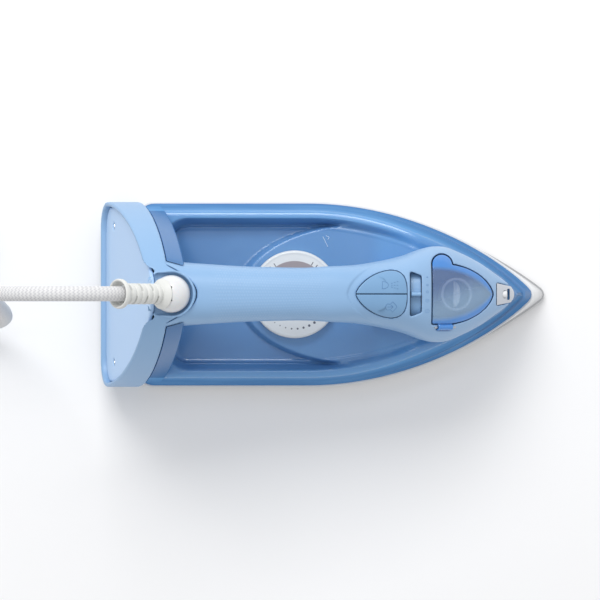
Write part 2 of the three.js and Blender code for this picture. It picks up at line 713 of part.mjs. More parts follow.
const heelHollow = heelRoom.add(tongueRoom).subtract(socketCup);
const heelShell = heelBand.add(tongue).subtract(heelHollow).subtract(socketCuts);
piece('rear_housing', heelShell, matteBlue);
const backPlate = archLoft(heelRear, coverRecess, heelRear, coverRecess + coverThickness, bandWall + gap);
const coverScrewZ = upward(40);
const coverScrewY = crosswise(45);
const coverScrews = [1, -1].map((side) => {
  const rear = heelRear(coverScrewZ) + coverRecess;
  const at = (x) => vector(rear + x, side * coverScrewY, coverScrewZ);
  return {
    bore: bar(2.6, at(-3), at(8), 12),
    head: bar(2.3, at(0.6), at(1.8), 12),
    shank: bar(1.5, at(1), at(9), 10),
  };
});
const plateHoles = joined(coverScrews.map(({ bore }) => bore));
const socketClear = post(recessRadius, ballX, 0, ballZ - ballRadius - 3, tallest, 20);
piece('back_cover', backPlate.subtract(plateHoles).subtract(socketClear), paleBlue);
coverScrews.forEach(({ head, shank }, i) => piece(`back_cover_screw_${i + 1}`, head.add(shank), steel));

// ---------------------------------------------------------------- temperature dial
const dialTop = dialBottom + dialThickness;
const dialProfile = [
  [0, 0], [dialRadius, 0], [dialRadius, dialThickness - 1], [dialRadius - 1, dialThickness], [0, dialThickness],
].map(([r, z]) => new THREE.Vector2(r, z));
const dial = piece('temperature_dial', new THREE.LatheGeometry(dialProfile, 36).rotateX(Math.PI / 2), white);
dial.position.set(dialX, 0, dialBottom);

// ---------------------------------------------------------------- spray and boost buttons, pumps and springs
const pumpX = lengthwise(34);
const pumpFoot = upward(88) + wall + 3 * gap;
const pumpTop = pumpFoot + pumpHeight;
const pumpBore = pumpRadius - 1.2;
const capThickness = 2;
const capFloor = coverHeight(pumpX, pumpSpacing / 2) - capThickness;
const buttonSkin = handleLoft(lengthwise(10), lengthwise(66), -0.4, false, 12)
  .subtract(handleLoft(lengthwise(9), lengthwise(67), capThickness, false, 12));
const leafPrism = raised(leaf(gap), upward(108), tallest);
for (const [name, side] of [['spray', 1], ['boost', -1]]) {
  const y = (side * pumpSpacing) / 2;
  const halfPlane = side > 0 ? [0.3, 40] : [-40, -0.3];
  const half = block(vector(0, halfPlane[0], 0), vector(lengthwise(90), halfPlane[1], tallest));
  const cap = buttonSkin.intersect(leafPrism).intersect(half);
  const boss = post(pumpBore - 1, pumpX, y, pumpTop + 1.3, capFloor + 1, 12);
  piece(`${name}_button`, cap.add(boss), matteBlue);
  const cup = post(pumpRadius, pumpX, y, pumpFoot, pumpTop, 16);
  piece(`${name}_pump`, cup.subtract(post(pumpBore, pumpX, y, pumpFoot + 1.5, pumpTop + 1, 16)), paleGrey);
  const pistonFoot = pumpFoot + 1.5 + buttonTravel + 0.8;
  const seal = post(pumpBore - gap, pumpX, y, pistonFoot, pistonFoot + 5, 12);
  piece(`${name}_piston`, seal.add(post(1.5, pumpX, y, pistonFoot, pumpTop + 1, 10)), darkPlastic);
  const springFoot = pumpTop + gap + springWire;
  const underCap = coverHeight(pumpX + pumpRadius, pumpSpacing / 2 + pumpRadius) - capThickness;
  const springTop = underCap - 3 * springWire;
  const springLine = steps(0, 4, 28).map((turns) => {
    const angle = 2 * Math.PI * turns;
    const coilTurnRadius = pumpRadius - springWire - 0.1;
    const z = springFoot + ((springTop - springFoot) * turns) / 4;
    return vector(pumpX + coilTurnRadius * Math.cos(angle), y + coilTurnRadius * Math.sin(angle), z);
  });
  piece(`${name}_spring`, tube(springLine, springWire, 28, 4), steel);
}

// ---------------------------------------------------------------- steam slider, its bracket, pin and valve
const pivotZ = coverHeight(valveX, 0) - drumRadius - drumRecess;
const drumFrom = valveX - drumWidth / 2;
const drumTo = valveX + drumWidth / 2;
const sectorHalf = THREE.MathUtils.degToRad(drumSpread);
const hubRadius = pivotRadius + 1.9;
const sector = new THREE.Shape();
sector.absarc(0, 0, drumRadius, Math.PI / 2 - sectorHalf, Math.PI / 2 + sectorHalf, false);
sector.absarc(0, 0, drumRadius - 2.4, Math.PI / 2 + sectorHalf, Math.PI / 2 - sectorHalf, true);
// Drawn in y and z, then carried along x.
function alongX(shape, from, to) {
  const geometry = new THREE.ExtrudeGeometry(shape, { depth: to - from, bevelEnabled: false, curveSegments: 14 });
  return solid(geometry.rotateX(Math.PI / 2).rotateZ(Math.PI / 2).translate(from, 0, 0));
}
const ridgeTop = drumRadius + drumRecess + 0.9;
const slider = joined([
  alongX(sector, drumFrom, drumTo).translate([0, 0, pivotZ]),
  block(vector(drumFrom, -1.5, pivotZ), vector(drumTo, 1.5, pivotZ + drumRadius - 1)),
  block(vector(drumFrom + 0.2, -1.3, pivotZ + drumRadius - 1), vector(drumTo - 0.2, 1.3, pivotZ + ridgeTop)),
  bar(hubRadius, vector(drumFrom, 0, pivotZ), vector(drumTo, 0, pivotZ), 16),
]).subtract(bar(pivotRadius + running, vector(drumFrom - 1, 0, pivotZ), vector(drumTo + 1, 0, pivotZ), 12));
piece('steam_slider', slider, matteBlue);

const earThickness = 1.6;
const bracketFoot = neckDeck + gap;
const bracketFrom = drumFrom - 0.5 - earThickness;
const bracketTo = drumTo + 0.5 + earThickness;
const bracket = joined([
  block(vector(bracketFrom, -7, bracketFoot), vector(bracketTo, 7, bracketFoot + 1.4)),
  block(vector(bracketFrom, -4, bracketFoot), vector(bracketFrom + earThickness, 4, pivotZ + 4)),
  block(vector(bracketTo - earThickness, -4, bracketFoot), vector(bracketTo, 4, pivotZ + 4)),
]);
const bracketCuts = joined([
  bar(pivotRadius + running, vector(bracketFrom - 1, 0, pivotZ), vector(bracketTo + 1, 0, pivotZ), 12),
  post(rodRadius + running, valveX, 0, bracketFoot - 1, bracketFoot + 2.5, 12),
]);
const hubClear = bar(hubRadius + gap, vector(drumFrom - 0.4, 0, pivotZ), vector(drumTo + 0.4, 0, pivotZ), 16);
piece('slider_bracket', bracket.subtract(bracketCuts).subtract(hubClear), paleGrey);
const pivotEnds = [vector(bracketFrom - 0.8, 0, pivotZ), vector(bracketTo + 0.8, 0, pivotZ)];
piece('slider_pivot_pin', bar(pivotRadius, ...pivotEnds, 12), steel);
const rodLift = 1;
const rodTop = pivotZ - hubRadius - rodLift - gap;
const rodFoot = tankFoot + 4.5 + rodLift;
piece('valve_rod', post(rodRadius, valveX, 0, rodFoot, rodTop, 12), brass);
const seatTube = post(rodRadius + 1.3, valveX, 0, lidTop + 2, tankFoot + 3.5, 14);
const seatFlange = post(rodRadius + 3.5, valveX, 0, tankFoot + tankWall + gap, tankFoot + 3.5, 14);
const seatHole = post(1, valveX, 0, lidTop + 1, tankFoot + 5, 10);
piece('valve_seat', seatTube.add(seatFlange).subtract(seatHole), rubber);

// ---------------------------------------------------------------- fill door, its pin and the filler funnel
const doorSkin = handleLoft(lengthwise(62), lengthwise(116), 0.2, false, 12)
  .subtract(handleLoft(lengthwise(61), lengthwise(117), wall, true, 10));
const doorBelow = across(aboveSeam(2.5), 60);
const doorPanel = doorSkin.intersect(raised(doorOutline(doorRoom), upward(60), tallest)).intersect(doorBelow);
const knuckleRun = [hingePoint(hingeRear, gap), hingePoint(hingeFront, -gap)];
const webShift = vector(0, 2.6, 0);
const web = solid(loft(knuckleRun.map((end) => [
  end.clone().add(vector(0, 0, 0.7)),
  end.clone().add(vector(0, 0, -0.7)),
  end.clone().add(vector(0, 0, -0.3)).add(webShift),
  end.clone().add(vector(0, 0, 1.2)).add(webShift),
])));
const knuckle = bar(knuckleRadius, ...knuckleRun, 12).add(web);
const pinBore = bar(hingePinRadius + running, hingePoint(hingeRear, -1), hingePoint(hingeFront, 1), 10);
piece('fill_door', doorPanel.add(knuckle).subtract(pinBore), doorBlue);
piece('door_pin', bar(hingePinRadius, ...pinRun, 8), steel);

const funnelFoot = upward(62);
const funnelBody = post(funnelRadius, funnelX, 0, funnelFoot, tallest, 24);
const underDoor = handleLoft(lengthwise(62), lengthwise(116), wall + 1, true, 12);
const funnelBore = post(funnelRadius - funnelWall, funnelX, 0, funnelFoot - 1, tallest, 24);
piece('filler_funnel', funnelBody.intersect(underDoor).subtract(funnelBore), paleGrey);

// ---------------------------------------------------------------- spray nozzle and the two hoses
const nozzleBody = handleLoft(lengthwise(105), noseX, 0, false, 8)
  .intersect(raised(nozzleOutline(gap), 0, tallest));
const sprayX = lengthwise(116);
const sprayZ = handleTop(sprayX) - 2.6;
const sprayAngle = 0.15;
const sprayAxis = vector(Math.cos(sprayAngle), 0, Math.sin(sprayAngle));
const sprayRadius = 2.2;
const sprayFrom = vector(sprayX, 0, sprayZ).addScaledVector(sprayAxis, -5);
const sprayTo = vector(sprayX, 0, sprayZ).addScaledVector(sprayAxis, 3.2);
const nozzleSeat = handleLoft(lengthwise(105), noseX - 3, 4.2, true, 6);
const alongSpray = (point, distance) => point.clone().addScaledVector(sprayAxis, distance);
const sprayBore = bar(sprayRadius + gap, alongSpray(sprayFrom, -6), alongSpray(sprayTo, 9), 14);
const nozzleInsert = nozzleBody.subtract(sprayBore).subtract(nozzleSeat);
piece('nozzle_insert', nozzleInsert.decompose()[0], paleGrey);
const sprayTip = bar(sprayRadius, sprayFrom, sprayTo, 14);
const sprayHole = bar(0.7, alongSpray(sprayFrom, 4), alongSpray(sprayTo, 2), 8);
piece('spray_nozzle', sprayTip.subtract(sprayHole), white);

const hoseRadius = 1.6;
const hoseY = pumpSpacing / 2;
const sprayHose = [
  vector(pumpX + pumpRadius + 2 * gap, hoseY, pumpFoot + 3),
  vector(pumpX + 8, hoseY + 0.8, pumpFoot + 3),
  vector(pumpX + 12, hoseY + 4, pumpFoot + 1),
  vector(lengthwise(52), 15, bracketFoot + 5),
  vector(lengthwise(68), 18, bracketFoot + 2),
  vector(lengthwise(84), 16, handleSeam(lengthwise(84)) + 3),
  vector(lengthwise(98), 11, handleSeam(lengthwise(98)) + 3),
  vector(lengthwise(104.5), 5, roof(lengthwise(104.5)) + 4.6),
  sprayFrom.clone().add(vector(-2.4, 0.6, 0.8)),
];
piece('spray_hose', tube(sprayHose, hoseRadius, 22, 6), rubber);

// ---------------------------------------------------------------- cord ball, guard and pivot pin
const tilt = THREE.MathUtils.degToRad(guardAngle);
const guardAxis = vector(-Math.cos(tilt), 0, Math.sin(tilt));
const alongGuard = (distance) => ballCentre.clone().addScaledVector(guardAxis, distance);
const slotHalf = guardNeckRadius + gap;
const slotTurn = (degrees) => {
  const angle = THREE.MathUtils.degToRad(guardAngle + degrees);
  return vector(-Math.cos(angle), 0, Math.sin(angle));
};
// The slot sweeps the neck from its lowest tilt to its highest.
const sweepPoint = (degrees, out, aside) => {
  const direction = slotTurn(degrees).multiplyScalar(out);
  const sideways = slotTurn(degrees + 90).multiplyScalar(aside);
  return [ballX + direction.x + sideways.x, ballZ + direction.z + sideways.z];
};
const sweepFar = ballRadius + 5;
const neckSweep = across([
  sweepPoint(-tiltDown, 0, -slotHalf),
  sweepPoint(-tiltDown, sweepFar, -slotHalf),
  ...steps(-tiltDown, tiltUp, 4).map((degrees) => sweepPoint(degrees, sweepFar + 2, 0)),
  sweepPoint(tiltUp, sweepFar, slotHalf),
  sweepPoint(tiltUp, 0, slotHalf),
], slotHalf);
const pinHalf = ballRadius * 0.8;
const guardPinEnds = [vector(ballX, -pinHalf, ballZ), vector(ballX, pinHalf, ballZ)];
const acrossBall = (radius, half, sides) =>
  bar(radius, vector(ballX, -half, ballZ), vector(ballX, half, ballZ), sides);
const neckRoom = acrossBall(guardNeckRadius + gap, slotHalf, 20);
const ballBore = acrossBall(pivotRadius + running, ballRadius, 12);
const leadBore = post(2.9, ballX, 0, ballZ - ballRadius - 2, ballZ, 12);
const ballBody = ball(ballRadius, 16).subtract(joined([neckSweep, neckRoom, ballBore, leadBore]));
piece('cord_ball', ballBody, white);
piece('guard_pin', bar(pivotRadius, ...guardPinEnds, 12), steel);

// The guard: a flexible ribbed sleeve that flares at its mouth.
const ribCount = 6;
const ribPitch = 4.2;
const ribStart = 12.5;
const guardProfile = [[0, -0.5], [guardNeckRadius, -0.5], [guardNeckRadius, ribStart - 0.8]];
for (let rib = 0; rib < ribCount; rib++) {
  const from = ribStart + rib * ribPitch;
  guardProfile.push([5.6, from - 0.4], [6.4, from + 0.4], [6.4, from + 2.2], [5.6, from + 3]);
}
const mouthStart = ribStart + ribCount * ribPitch;
guardProfile.push([5.8, mouthStart], [guardMouthRadius, mouthStart + 2.2], [guardMouthRadius, guardLength]);
const cordClear = cordDiameter / 2 + gap;
const cordEntry = guardLength - 12;
guardProfile.push([cordClear + 1.5, guardLength], [cordClear, guardLength - 3]);
guardProfile.push([cordClear, cordEntry], [0, cordEntry]);
const guardLathe = new THREE.LatheGeometry(guardProfile.map(([r, z]) => new THREE.Vector2(r, z)), 12);
const guardTurn = new THREE.Quaternion().setFromUnitVectors(vector(0, 1, 0), guardAxis);
guardLathe.applyQuaternion(guardTurn).translate(ballX, 0, ballZ);
const eye = acrossBall(guardNeckRadius, guardNeckRadius, 18);
const eyeBore = acrossBall(pivotRadius + running, 6, 12);
piece('cord_guard', solid(guardLathe).add(eye).subtract(eyeBore), white);

// ---------------------------------------------------------------- mains wiring inside the heel
const terminalTop = upward(99);
const terminalFoot = upward(85);
const terminalX = (heelRear(terminalTop) + coverRecess + coverThickness + heelFront(terminalFoot)) / 2;
const terminalHalfDepth = 3.6;
piece('terminal_block', block(
  vector(terminalX - terminalHalfDepth, -14, terminalFoot),
  vector(terminalX + terminalHalfDepth, 14, terminalTop),
), paleGrey);
const clampZ = terminalTop + 5;
const clampX = terminalX + 2.2;
const leadRadius = 2.4;
const clampBody = block(vector(clampX - 3.2, -8, clampZ - 1.6), vector(clampX + 3.2, 8, clampZ + 1.6));
const clampBore = post(leadRadius + gap, clampX, 0, clampZ - 3, clampZ + 3, 12);
piece('cord_clamp', clampBody.subtract(clampBore), darkPlastic);
const leadLine = [
  vector(ballX - 1, 0, ballZ - ballRadius - 4),
  vector(ballX - 3.5, 0, ballZ - ballRadius - 10),
  vector(ballX - 10, 0, ballZ - ballRadius - 15),
  vector(ballX - 14.5, 0, ballZ - ballRadius - 20.5),
  vector(clampX, 0, clampZ + 3),
  vector(clampX, 0, terminalTop + gap),
];
piece('supply_lead', tube(leadLine, leadRadius, 10, 8), cordGrey);

const wireRadius = 1.1;
const wireFloor = archBottom + bandWall + wireRadius + 0.4;
const underDeck = lidTop + gap + wireRadius;
const wireRun = (y, ending) => [
  vector(terminalX - 0.8, y, terminalFoot - gap),
  vector(heelFront(upward(60)) - 5.5, y, upward(60)),
  vector(heelFront(upward(35)) - 6, y, upward(35)),
  vector(heelFront(wireFloor) - 5.5, y, wireFloor + 4),
  vector(heelFront(wireFloor) - 1.5, y, wireFloor),
  vector(lengthwise(-114), y, wireFloor - 0.3),
  vector(lengthwise(-107), y, underDeck + 1.4),
  vector(lengthwise(-101), y, underDeck),
  ...ending,
];
piece('live_wire', tube(wireRun(-9, [
  vector(lengthwise(-70), -9, underDeck),
  vector(dialX - thermostatRadius - 8, -5, underDeck + 0.3),
  vector(dialX - thermostatRadius - 0.6, -1, underDeck + 0.4),
]), wireRadius, 20, 6), copper);
piece('neutral_wire', tube(wireRun(9, [
  vector(lengthwise(-102), 20, underDeck),
  vector(heaterEndX + 1, heaterEndY - heaterRadius - 1.6, underDeck),
]), wireRadius, 20, 6), leadBlue);
piece('earth_wire', tube(wireRun(0, [
  vector(lengthwise(-92), 3, underDeck),
  vector(lengthwise(-84), 4, underDeck),
]), wireRadius, 18, 6), earthGreen);

// ---------------------------------------------------------------- mains lead: hand-chosen route, then a coil
const coilLift = 1.5;
const coilZ = coilLift + cordDiameter / 2;
const coilX = -287;
const coilFoot = -21; // the lead drifts to this side as it falls
const coilMiddle = coilFoot + coilRadius;
const cordEnd = alongGuard(cordEntry + gap);
const leadRoute = [
  [cordEnd.x, 0, cordEnd.z],
  [-124.4, 0, 173.4],
  [-133.5, 0, 180.8],
  [-146.0, 0, 185.9],
  [-159.0, 0, 187.3],
  [-173.5, 0, 184.9],
  [-188.0, 0, 177.0],
  [-199.0, 0, 164.3],
  [-205.0, -0.5, 149.0],
  [-206.5, -2.0, 132.0],
  [-206.5, -5.0, 110.0],
  [-206.5, -8.5, 88.0],
  [-206.9, -12.0, 66.0],
  [-209.5, -15.5, 45.5],
  [-217.0, -18.5, 27.5],
  [-229.0, -20.4, 14.2],
  [-243.5, coilFoot, 7.4],
  [-258.0, coilFoot, 5.6],
  [-272.0, coilFoot, 5.9],
  [coilX, coilFoot, coilZ],
].map(([x, y, z]) => vector(x, y, z));
const coilHeight = cordDiameter + cordPitch;
const coilInner = coilRadius - coilTurnsPerLayer * cordPitch - cordDiameter / 2 - gap;
const coilOuter = coilRadius + cordDiameter / 2 + gap;
const coilRing = (grow, sides) => {
  const section = [
    [coilInner - grow, -grow], [coilOuter + grow, -grow],
    [coilOuter + grow, coilHeight + grow], [coilInner - grow, coilHeight + grow], [coilInner - grow, -grow],
  ].map(([r, z]) => new THREE.Vector2(r, z));
  const ring = solid(new THREE.LatheGeometry(section, sides).rotateX(Math.PI / 2));
  return ring.translate([coilX, coilMiddle, coilLift]);
};
const ringClear = coilRing(gap, 28);
piece('cord_line', tube(leadRoute, cordDiameter / 2, 34).subtract(ringClear), cordGrey);
piece('cord_coil', coilRing(0, 28), cordGrey);

const reliefX = -352;
const reliefLength = 22;
const plugZ = plugRadius + 0.4;
const tailLine = [
  [coilX, coilFoot, coilZ + cordPitch],
  [-305, coilFoot, coilZ + cordPitch + 0.2],
  [-330, coilFoot, plugZ - 1],
  [reliefX + gap, coilFoot, plugZ],
].map(([x, y, z]) => vector(x, y, z));
piece('cord_tail', tube(tailLine, cordDiameter / 2, 6).subtract(ringClear), cordGrey);

const strapHalf = 6;
const strapThickness = 1;
const strapFrom = coilMiddle + coilInner - 1.2;
const strapTo = coilMiddle + coilOuter + gap;
const strapOuter = block(
  vector(coilX - strapHalf, strapFrom - strapThickness, 0.2),
  vector(coilX + strapHalf, strapTo + strapThickness, coilLift + coilHeight + gap + strapThickness),
);
const strapInner = block(
  vector(coilX - strapHalf - 1, strapFrom, 0.2 + strapThickness),
  vector(coilX + strapHalf + 1, strapTo, coilLift + coilHeight + gap),
);
piece('coil_tie', strapOuter.subtract(strapInner), darkPlastic);

// The plug lies beside the coil with its pins pointing away.
const plugFront = reliefX - reliefLength - gap;
const onPlugAxis = (distance) => vector(distance, coilFoot, plugZ);
const reliefEnds = [onPlugAxis(reliefX), onPlugAxis(reliefX - reliefLength)];
piece('plug_relief', bar(cordDiameter / 2 + 0.6, ...reliefEnds, 14, 9), white);
const plugProfile = [
  [0, 0], [12, 0], [plugRadius - 1, 6], [plugRadius, 12],
  [plugRadius, plugLength - 2], [plugRadius - 2, plugLength], [0, plugLength],
].map(([r, z]) => new THREE.Vector2(r, z));
const plugBody = new THREE.LatheGeometry(plugProfile, 24);
piece('plug_body', plugBody.rotateZ(Math.PI / 2).translate(plugFront, coilFoot, plugZ), white);
[1, -1].forEach((side, i) => {
  const y = coilFoot + (side * plugPinSpacing) / 2;
  const face = plugFront - plugLength - gap;
  const ends = [vector(face, y, plugZ), vector(face - plugPinLength, y, plugZ)];
  piece(`plug_pin_${i + 1}`, bar(plugPinRadius, ...ends, 12), steel);
});

export default iron;
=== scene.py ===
from math import atan2, cos, hypot, pi, radians, sin, sqrt

import bmesh
import bpy
import numpy as np
from mathutils import Matrix, Vector


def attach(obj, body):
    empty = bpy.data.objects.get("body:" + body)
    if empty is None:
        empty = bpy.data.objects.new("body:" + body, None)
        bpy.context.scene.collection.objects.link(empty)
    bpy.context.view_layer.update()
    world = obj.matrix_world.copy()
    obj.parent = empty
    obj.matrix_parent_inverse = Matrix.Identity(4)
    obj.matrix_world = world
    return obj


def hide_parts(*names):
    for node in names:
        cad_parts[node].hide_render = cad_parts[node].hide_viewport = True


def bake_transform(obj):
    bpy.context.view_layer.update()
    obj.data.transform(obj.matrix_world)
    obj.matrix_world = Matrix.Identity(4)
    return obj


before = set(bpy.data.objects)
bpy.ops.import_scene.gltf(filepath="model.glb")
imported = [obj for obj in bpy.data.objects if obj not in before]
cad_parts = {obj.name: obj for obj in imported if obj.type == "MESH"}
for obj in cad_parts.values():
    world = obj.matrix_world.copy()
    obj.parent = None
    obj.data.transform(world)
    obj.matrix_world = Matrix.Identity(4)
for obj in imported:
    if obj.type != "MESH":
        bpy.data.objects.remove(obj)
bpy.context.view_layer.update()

# ---------------------------------------------------------------- table, camera and light
# The iron lies flat on a white table and is looked at from straight above, tip to the right. One large soft
# light stands beyond the iron's +Y side, so every form shades softly towards -Y, with white walls all round.
MM = 0.001
scene = bpy.context.scene
scene.view_settings.view_transform = "Standard"
camera = bpy.data.objects.new("camera", bpy.data.cameras.new("camera"))
camera.location = (-0.0155, -0.0037, 1.4)
camera.data.sensor_width = 36
camera.data.lens = 123.5
scene.collection.objects.link(camera)
scene.camera = camera


def softbox(name, place, aim, width, height, power):
    """A rectangular studio light at place, facing aim."""
    light = bpy.data.lights.new(name, "AREA")
    light.shape, light.size, light.size_y, light.energy = "RECTANGLE", width, height, power
    lamp = bpy.data.objects.new(name, light)
    lamp.location = place
    lamp.rotation_euler = (Vector(aim) - Vector(place)).to_track_quat("-Z", "Y").to_euler()
    scene.collection.objects.link(lamp)


softbox("key_light", (-0.25, 0.95, 1.15), (0, 0, 0.05), 0.9, 0.6, 12.5)
softbox("strip_light", (-0.15, 0.42, 1.55), (0, 0, 0.05), 0.9, 0.12, 1.6)

walls = bpy.data.worlds.new("walls")
walls.use_nodes = True
walls.node_tree.nodes["Background"].inputs["Color"].default_value = (0.985, 0.99, 1, 1)
walls.node_tree.nodes["Background"].inputs["Strength"].default_value = 0.72
scene.world = walls


class Value:
    """One socket of a material, so that sums on it read as arithmetic and add their Math nodes."""

    def __init__(self, paint, socket):
        self.paint, self.socket = paint, socket

    def __add__(self, other):
        return self.paint.curve("ADD", self, other)

    def __mul__(self, other):
        return self.paint.curve("MULTIPLY", self, other)

    def __sub__(self, other):
        return self.paint.curve("SUBTRACT", self, other)

    def __rsub__(self, other):
        return self.paint.curve("SUBTRACT", other, self)

    def __truediv__(self, other):
        return self.paint.curve("DIVIDE", self, other)

    def __pow__(self, other):
        return self.paint.curve("POWER", self, other)

    def __mod__(self, other):
        return self.paint.curve("FLOORED_MODULO", self, other)

    __radd__, __rmul__ = __add__, __mul__


class Paint:
    """A material under construction. Its node method makes every node: settings first, then sockets."""

    def __init__(self, name):
        self.material = bpy.data.materials.new(name)
        self.material.use_nodes = True
        self.tree = self.material.node_tree
        self.tree.nodes.clear()

    def node(self, kind, settings=None, sockets=None, output=0):
        made = self.tree.nodes.new(kind)
        for key, value in (settings or {}).items():
            setattr(made, key, value)
        for key, value in (sockets or {}).items():
            if isinstance(value, Value):
                self.tree.links.new(value.socket, made.inputs[key])
            else:
                made.inputs[key].default_value = value
        return Value(self, made.outputs[output])

    def place(self):
        """Where a point is on the object, in metres."""
        return self.node("ShaderNodeTexCoord", output="Object")

    def axes(self, vector=None):
        """The three numbers of a vector, of the place by default and then in millimetres."""
        if vector is None:
            vector = self.node("ShaderNodeVectorMath", {"operation": "SCALE"},
                               {0: self.place(), "Scale": 1 / MM})
        first = self.node("ShaderNodeSeparateXYZ", None, {"Vector": vector})
        return [Value(self, output) for output in first.socket.node.outputs]

    def cloud(self, size, detail=2.0, rough=0.5, vector=None, stretch=None):
        """Soft noise from 0 to 1 with blotches of about size millimetres."""
        at = vector or self.place()
        if stretch:
            at = self.node("ShaderNodeMapping", None, {"Vector": at, "Scale": stretch})
        return self.node("ShaderNodeTexNoise", None,
                         {"Vector": at, "Scale": 1 / (size * MM), "Detail": detail, "Roughness": rough})

    def ease(self, value, low, high):
        """0 below low, 1 above high and smooth between."""
        return self.node("ShaderNodeMapRange", {"interpolation_type": "SMOOTHSTEP"},
                         {0: value, 1: low, 2: high})

    def curve(self, kind, value, other=0.0):
        """One Math node, by its operation."""
        return self.node("ShaderNodeMath", {"operation": kind}, {0: value, 1: other})

    def mix(self, share, first, second):
        return self.node("ShaderNodeMix", {"data_type": "RGBA"}, {0: share, 6: first, 7: second}, 2)

    def bump(self, height, depth, strength=1.0, under=None):
        """Relief of depth millimetres for heights from 0 to 1."""
        sockets = {"Height": height, "Distance": depth * MM, "Strength": strength}
        return self.node("ShaderNodeBump", None, sockets | ({"Normal": under} if under else {}))

    def shader(self, **sockets):
        """A Principled shader; a socket's name is given with _ for its spaces."""
        named = {key.replace("_", " "): value for key, value in sockets.items()}
        return self.node("ShaderNodeBsdfPrincipled", None, named)

    def surface(self, shader):
        """Ends the material in this shader."""
        out = self.tree.nodes.new("ShaderNodeOutputMaterial")
        self.tree.links.new(shader.socket, out.inputs["Surface"])
        return self.material

    def finish(self, **sockets):
        """Ends the material in one Principled shader."""
        return self.surface(self.shader(**sockets))


def tint(red, green, blue, share=1.0):
    """A colour from 0-255 screen values, with its light scaled by share."""
    values = [channel / 255 for channel in (red, green, blue)]
    return (*[share * (v / 12.92 if v <= 0.04045 else ((v + 0.055) / 1.055) ** 2.4) for v in values], 1)


def table_white():
    """White laminate, matt and very faintly cloudy."""
    paint = Paint("table_white")
    colour = paint.mix(paint.cloud(60, 3), (0.9, 0.9, 0.905, 1), (0.915, 0.915, 0.92, 1))
    return paint.finish(Base_Color=colour, Roughness=0.7 + 0.1 * paint.cloud(4))


top = bmesh.new()
bmesh.ops.create_grid(top, x_segments=2, y_segments=2, size=4)
table_mesh = bpy.data.meshes.new("table")
top.to_mesh(table_mesh)
table_mesh.materials.append(table_white())
table = bpy.data.objects.new("table", table_mesh)
scene.collection.objects.link(table)

# ---------------------------------------------------------------- cord
# A 9 mm lead braided in pale grey cotton and polyester over rubber. It rises out of the guard, bends over
# and comes down behind the iron to the table, where the rest of its 1.88 m lies in a tied coil beside the
# plug.
cord_diameter = 9.0
cord_rise = [
    (-116.1, 0, 165.1), (-124.4, 0, 173.4), (-133.5, 0, 180.8), (-146, 0, 185.9), (-159, 0, 187.3),
    (-173.5, 0, 184.9), (-188, 0, 177), (-199, 0, 164.3), (-205, -0.5, 149), (-206.5, -2, 132),
    (-206.5, -5, 110), (-206.5, -8.5, 88), (-206.9, -12, 66), (-209.5, -15.5, 45.5), (-217, -18.5, 27.5),
    (-229, -20.4, 14.2), (-243.5, -21, 7.4), (-258, -21, 5.6), (-272, -21, 5.9),
]
cord_tail = [(-305, -21, 15.4), (-330, -21, 17.4), (-353, -21, 18.4)]
coil_x, coil_y, coil_radius, cord_pitch, coil_turns = -287.0, 38.0, 59.0, 9.2, 2.5
turn_steps, coil_bottom, layer_change = 26, 6, 0.2


def coil():
    """Points of the coil: one layer wound inward on the table, then a second wound outward on top of it."""
    count = int(2 * coil_turns * turn_steps)
    for i in range(count + 1):
        turns = 2 * coil_turns * i / count
        radius = coil_radius - cord_pitch * min(turns, 2 * coil_turns - turns)
        climb = min(1, max(0, (turns - coil_turns) / layer_change + 0.5))
        angle = -pi / 2 - 2 * pi * turns
        height = coil_bottom + cord_pitch * climb * climb * (3 - 2 * climb)
        yield coil_x + radius * cos(angle), coil_y + radius * sin(angle), height


def route(points, spacing):
    """A smooth line through points, centripetal so that it never overshoots, cut to an even spacing."""
    points = [np.array(p, float) for p in points]
    knots = [2 * points[0] - points[1], *points, 2 * points[-1] - points[-2]]
    line = []
    for p0, p1, p2, p3 in zip(knots, knots[1:], knots[2:], knots[3:]):
        t1 = np.linalg.norm(p1 - p0) ** 0.5
        t2 = t1 + np.linalg.norm(p2 - p1) ** 0.5
        t3 = t2 + np.linalg.norm(p3 - p2) ** 0.5
        for t in np.linspace(t1, t2, 12, endpoint=False):
            a1 = (t1 - t) / t1 * p0 + t / t1 * p1
            a2 = ((t2 - t) * p1 + (t - t1) * p2) / (t2 - t1)
            a3 = ((t3 - t) * p2 + (t - t2) * p3) / (t3 - t2)
            b1 = ((t2 - t) * a1 + t * a2) / t2
            b2 = ((t3 - t) * a2 + (t - t1) * a3) / (t3 - t1)
            line.append(((t2 - t) * b1 + (t - t1) * b2) / (t2 - t1))
    line = np.array([*line, points[-1]])
    run = np.concatenate([[0], np.cumsum(np.linalg.norm(np.diff(line, axis=0), axis=1))])
    even = np.linspace(0, run[-1], max(2, round(run[-1] / spacing)) + 1)
    return np.column_stack([np.interp(even, run, line[:, k]) for k in range(3)])


def skin(across, along, place):
    """An open skin of across by along cells, laid where place(u, v) says in millimetres; u and v run from 0
    to 1. Corners that fall together are merged, and the skin keeps u and v as its UV map."""
    shell = bmesh.new()
    shell.loops.layers.uv.new("UVMap")
    bmesh.ops.create_grid(shell, x_segments=across, y_segments=along, size=0.5, calc_uvs=True)
    for vertex in shell.verts:
        vertex.co = Vector(place(vertex.co.x + 0.5, vertex.co.y + 0.5)) * MM
    bmesh.ops.remove_doubles(shell, verts=shell.verts, dist=0.002 * MM)
    bmesh.ops.dissolve_degenerate(shell, edges=shell.edges, dist=0.001 * MM)
    return shell


def closed(shell):
    """The same shell with its open ends filled and every face turned outward."""
    bmesh.ops.holes_fill(shell, edges=[edge for edge in shell.edges if edge.is_boundary])
    bmesh.ops.recalc_face_normals(shell, faces=shell.faces)
    return shell


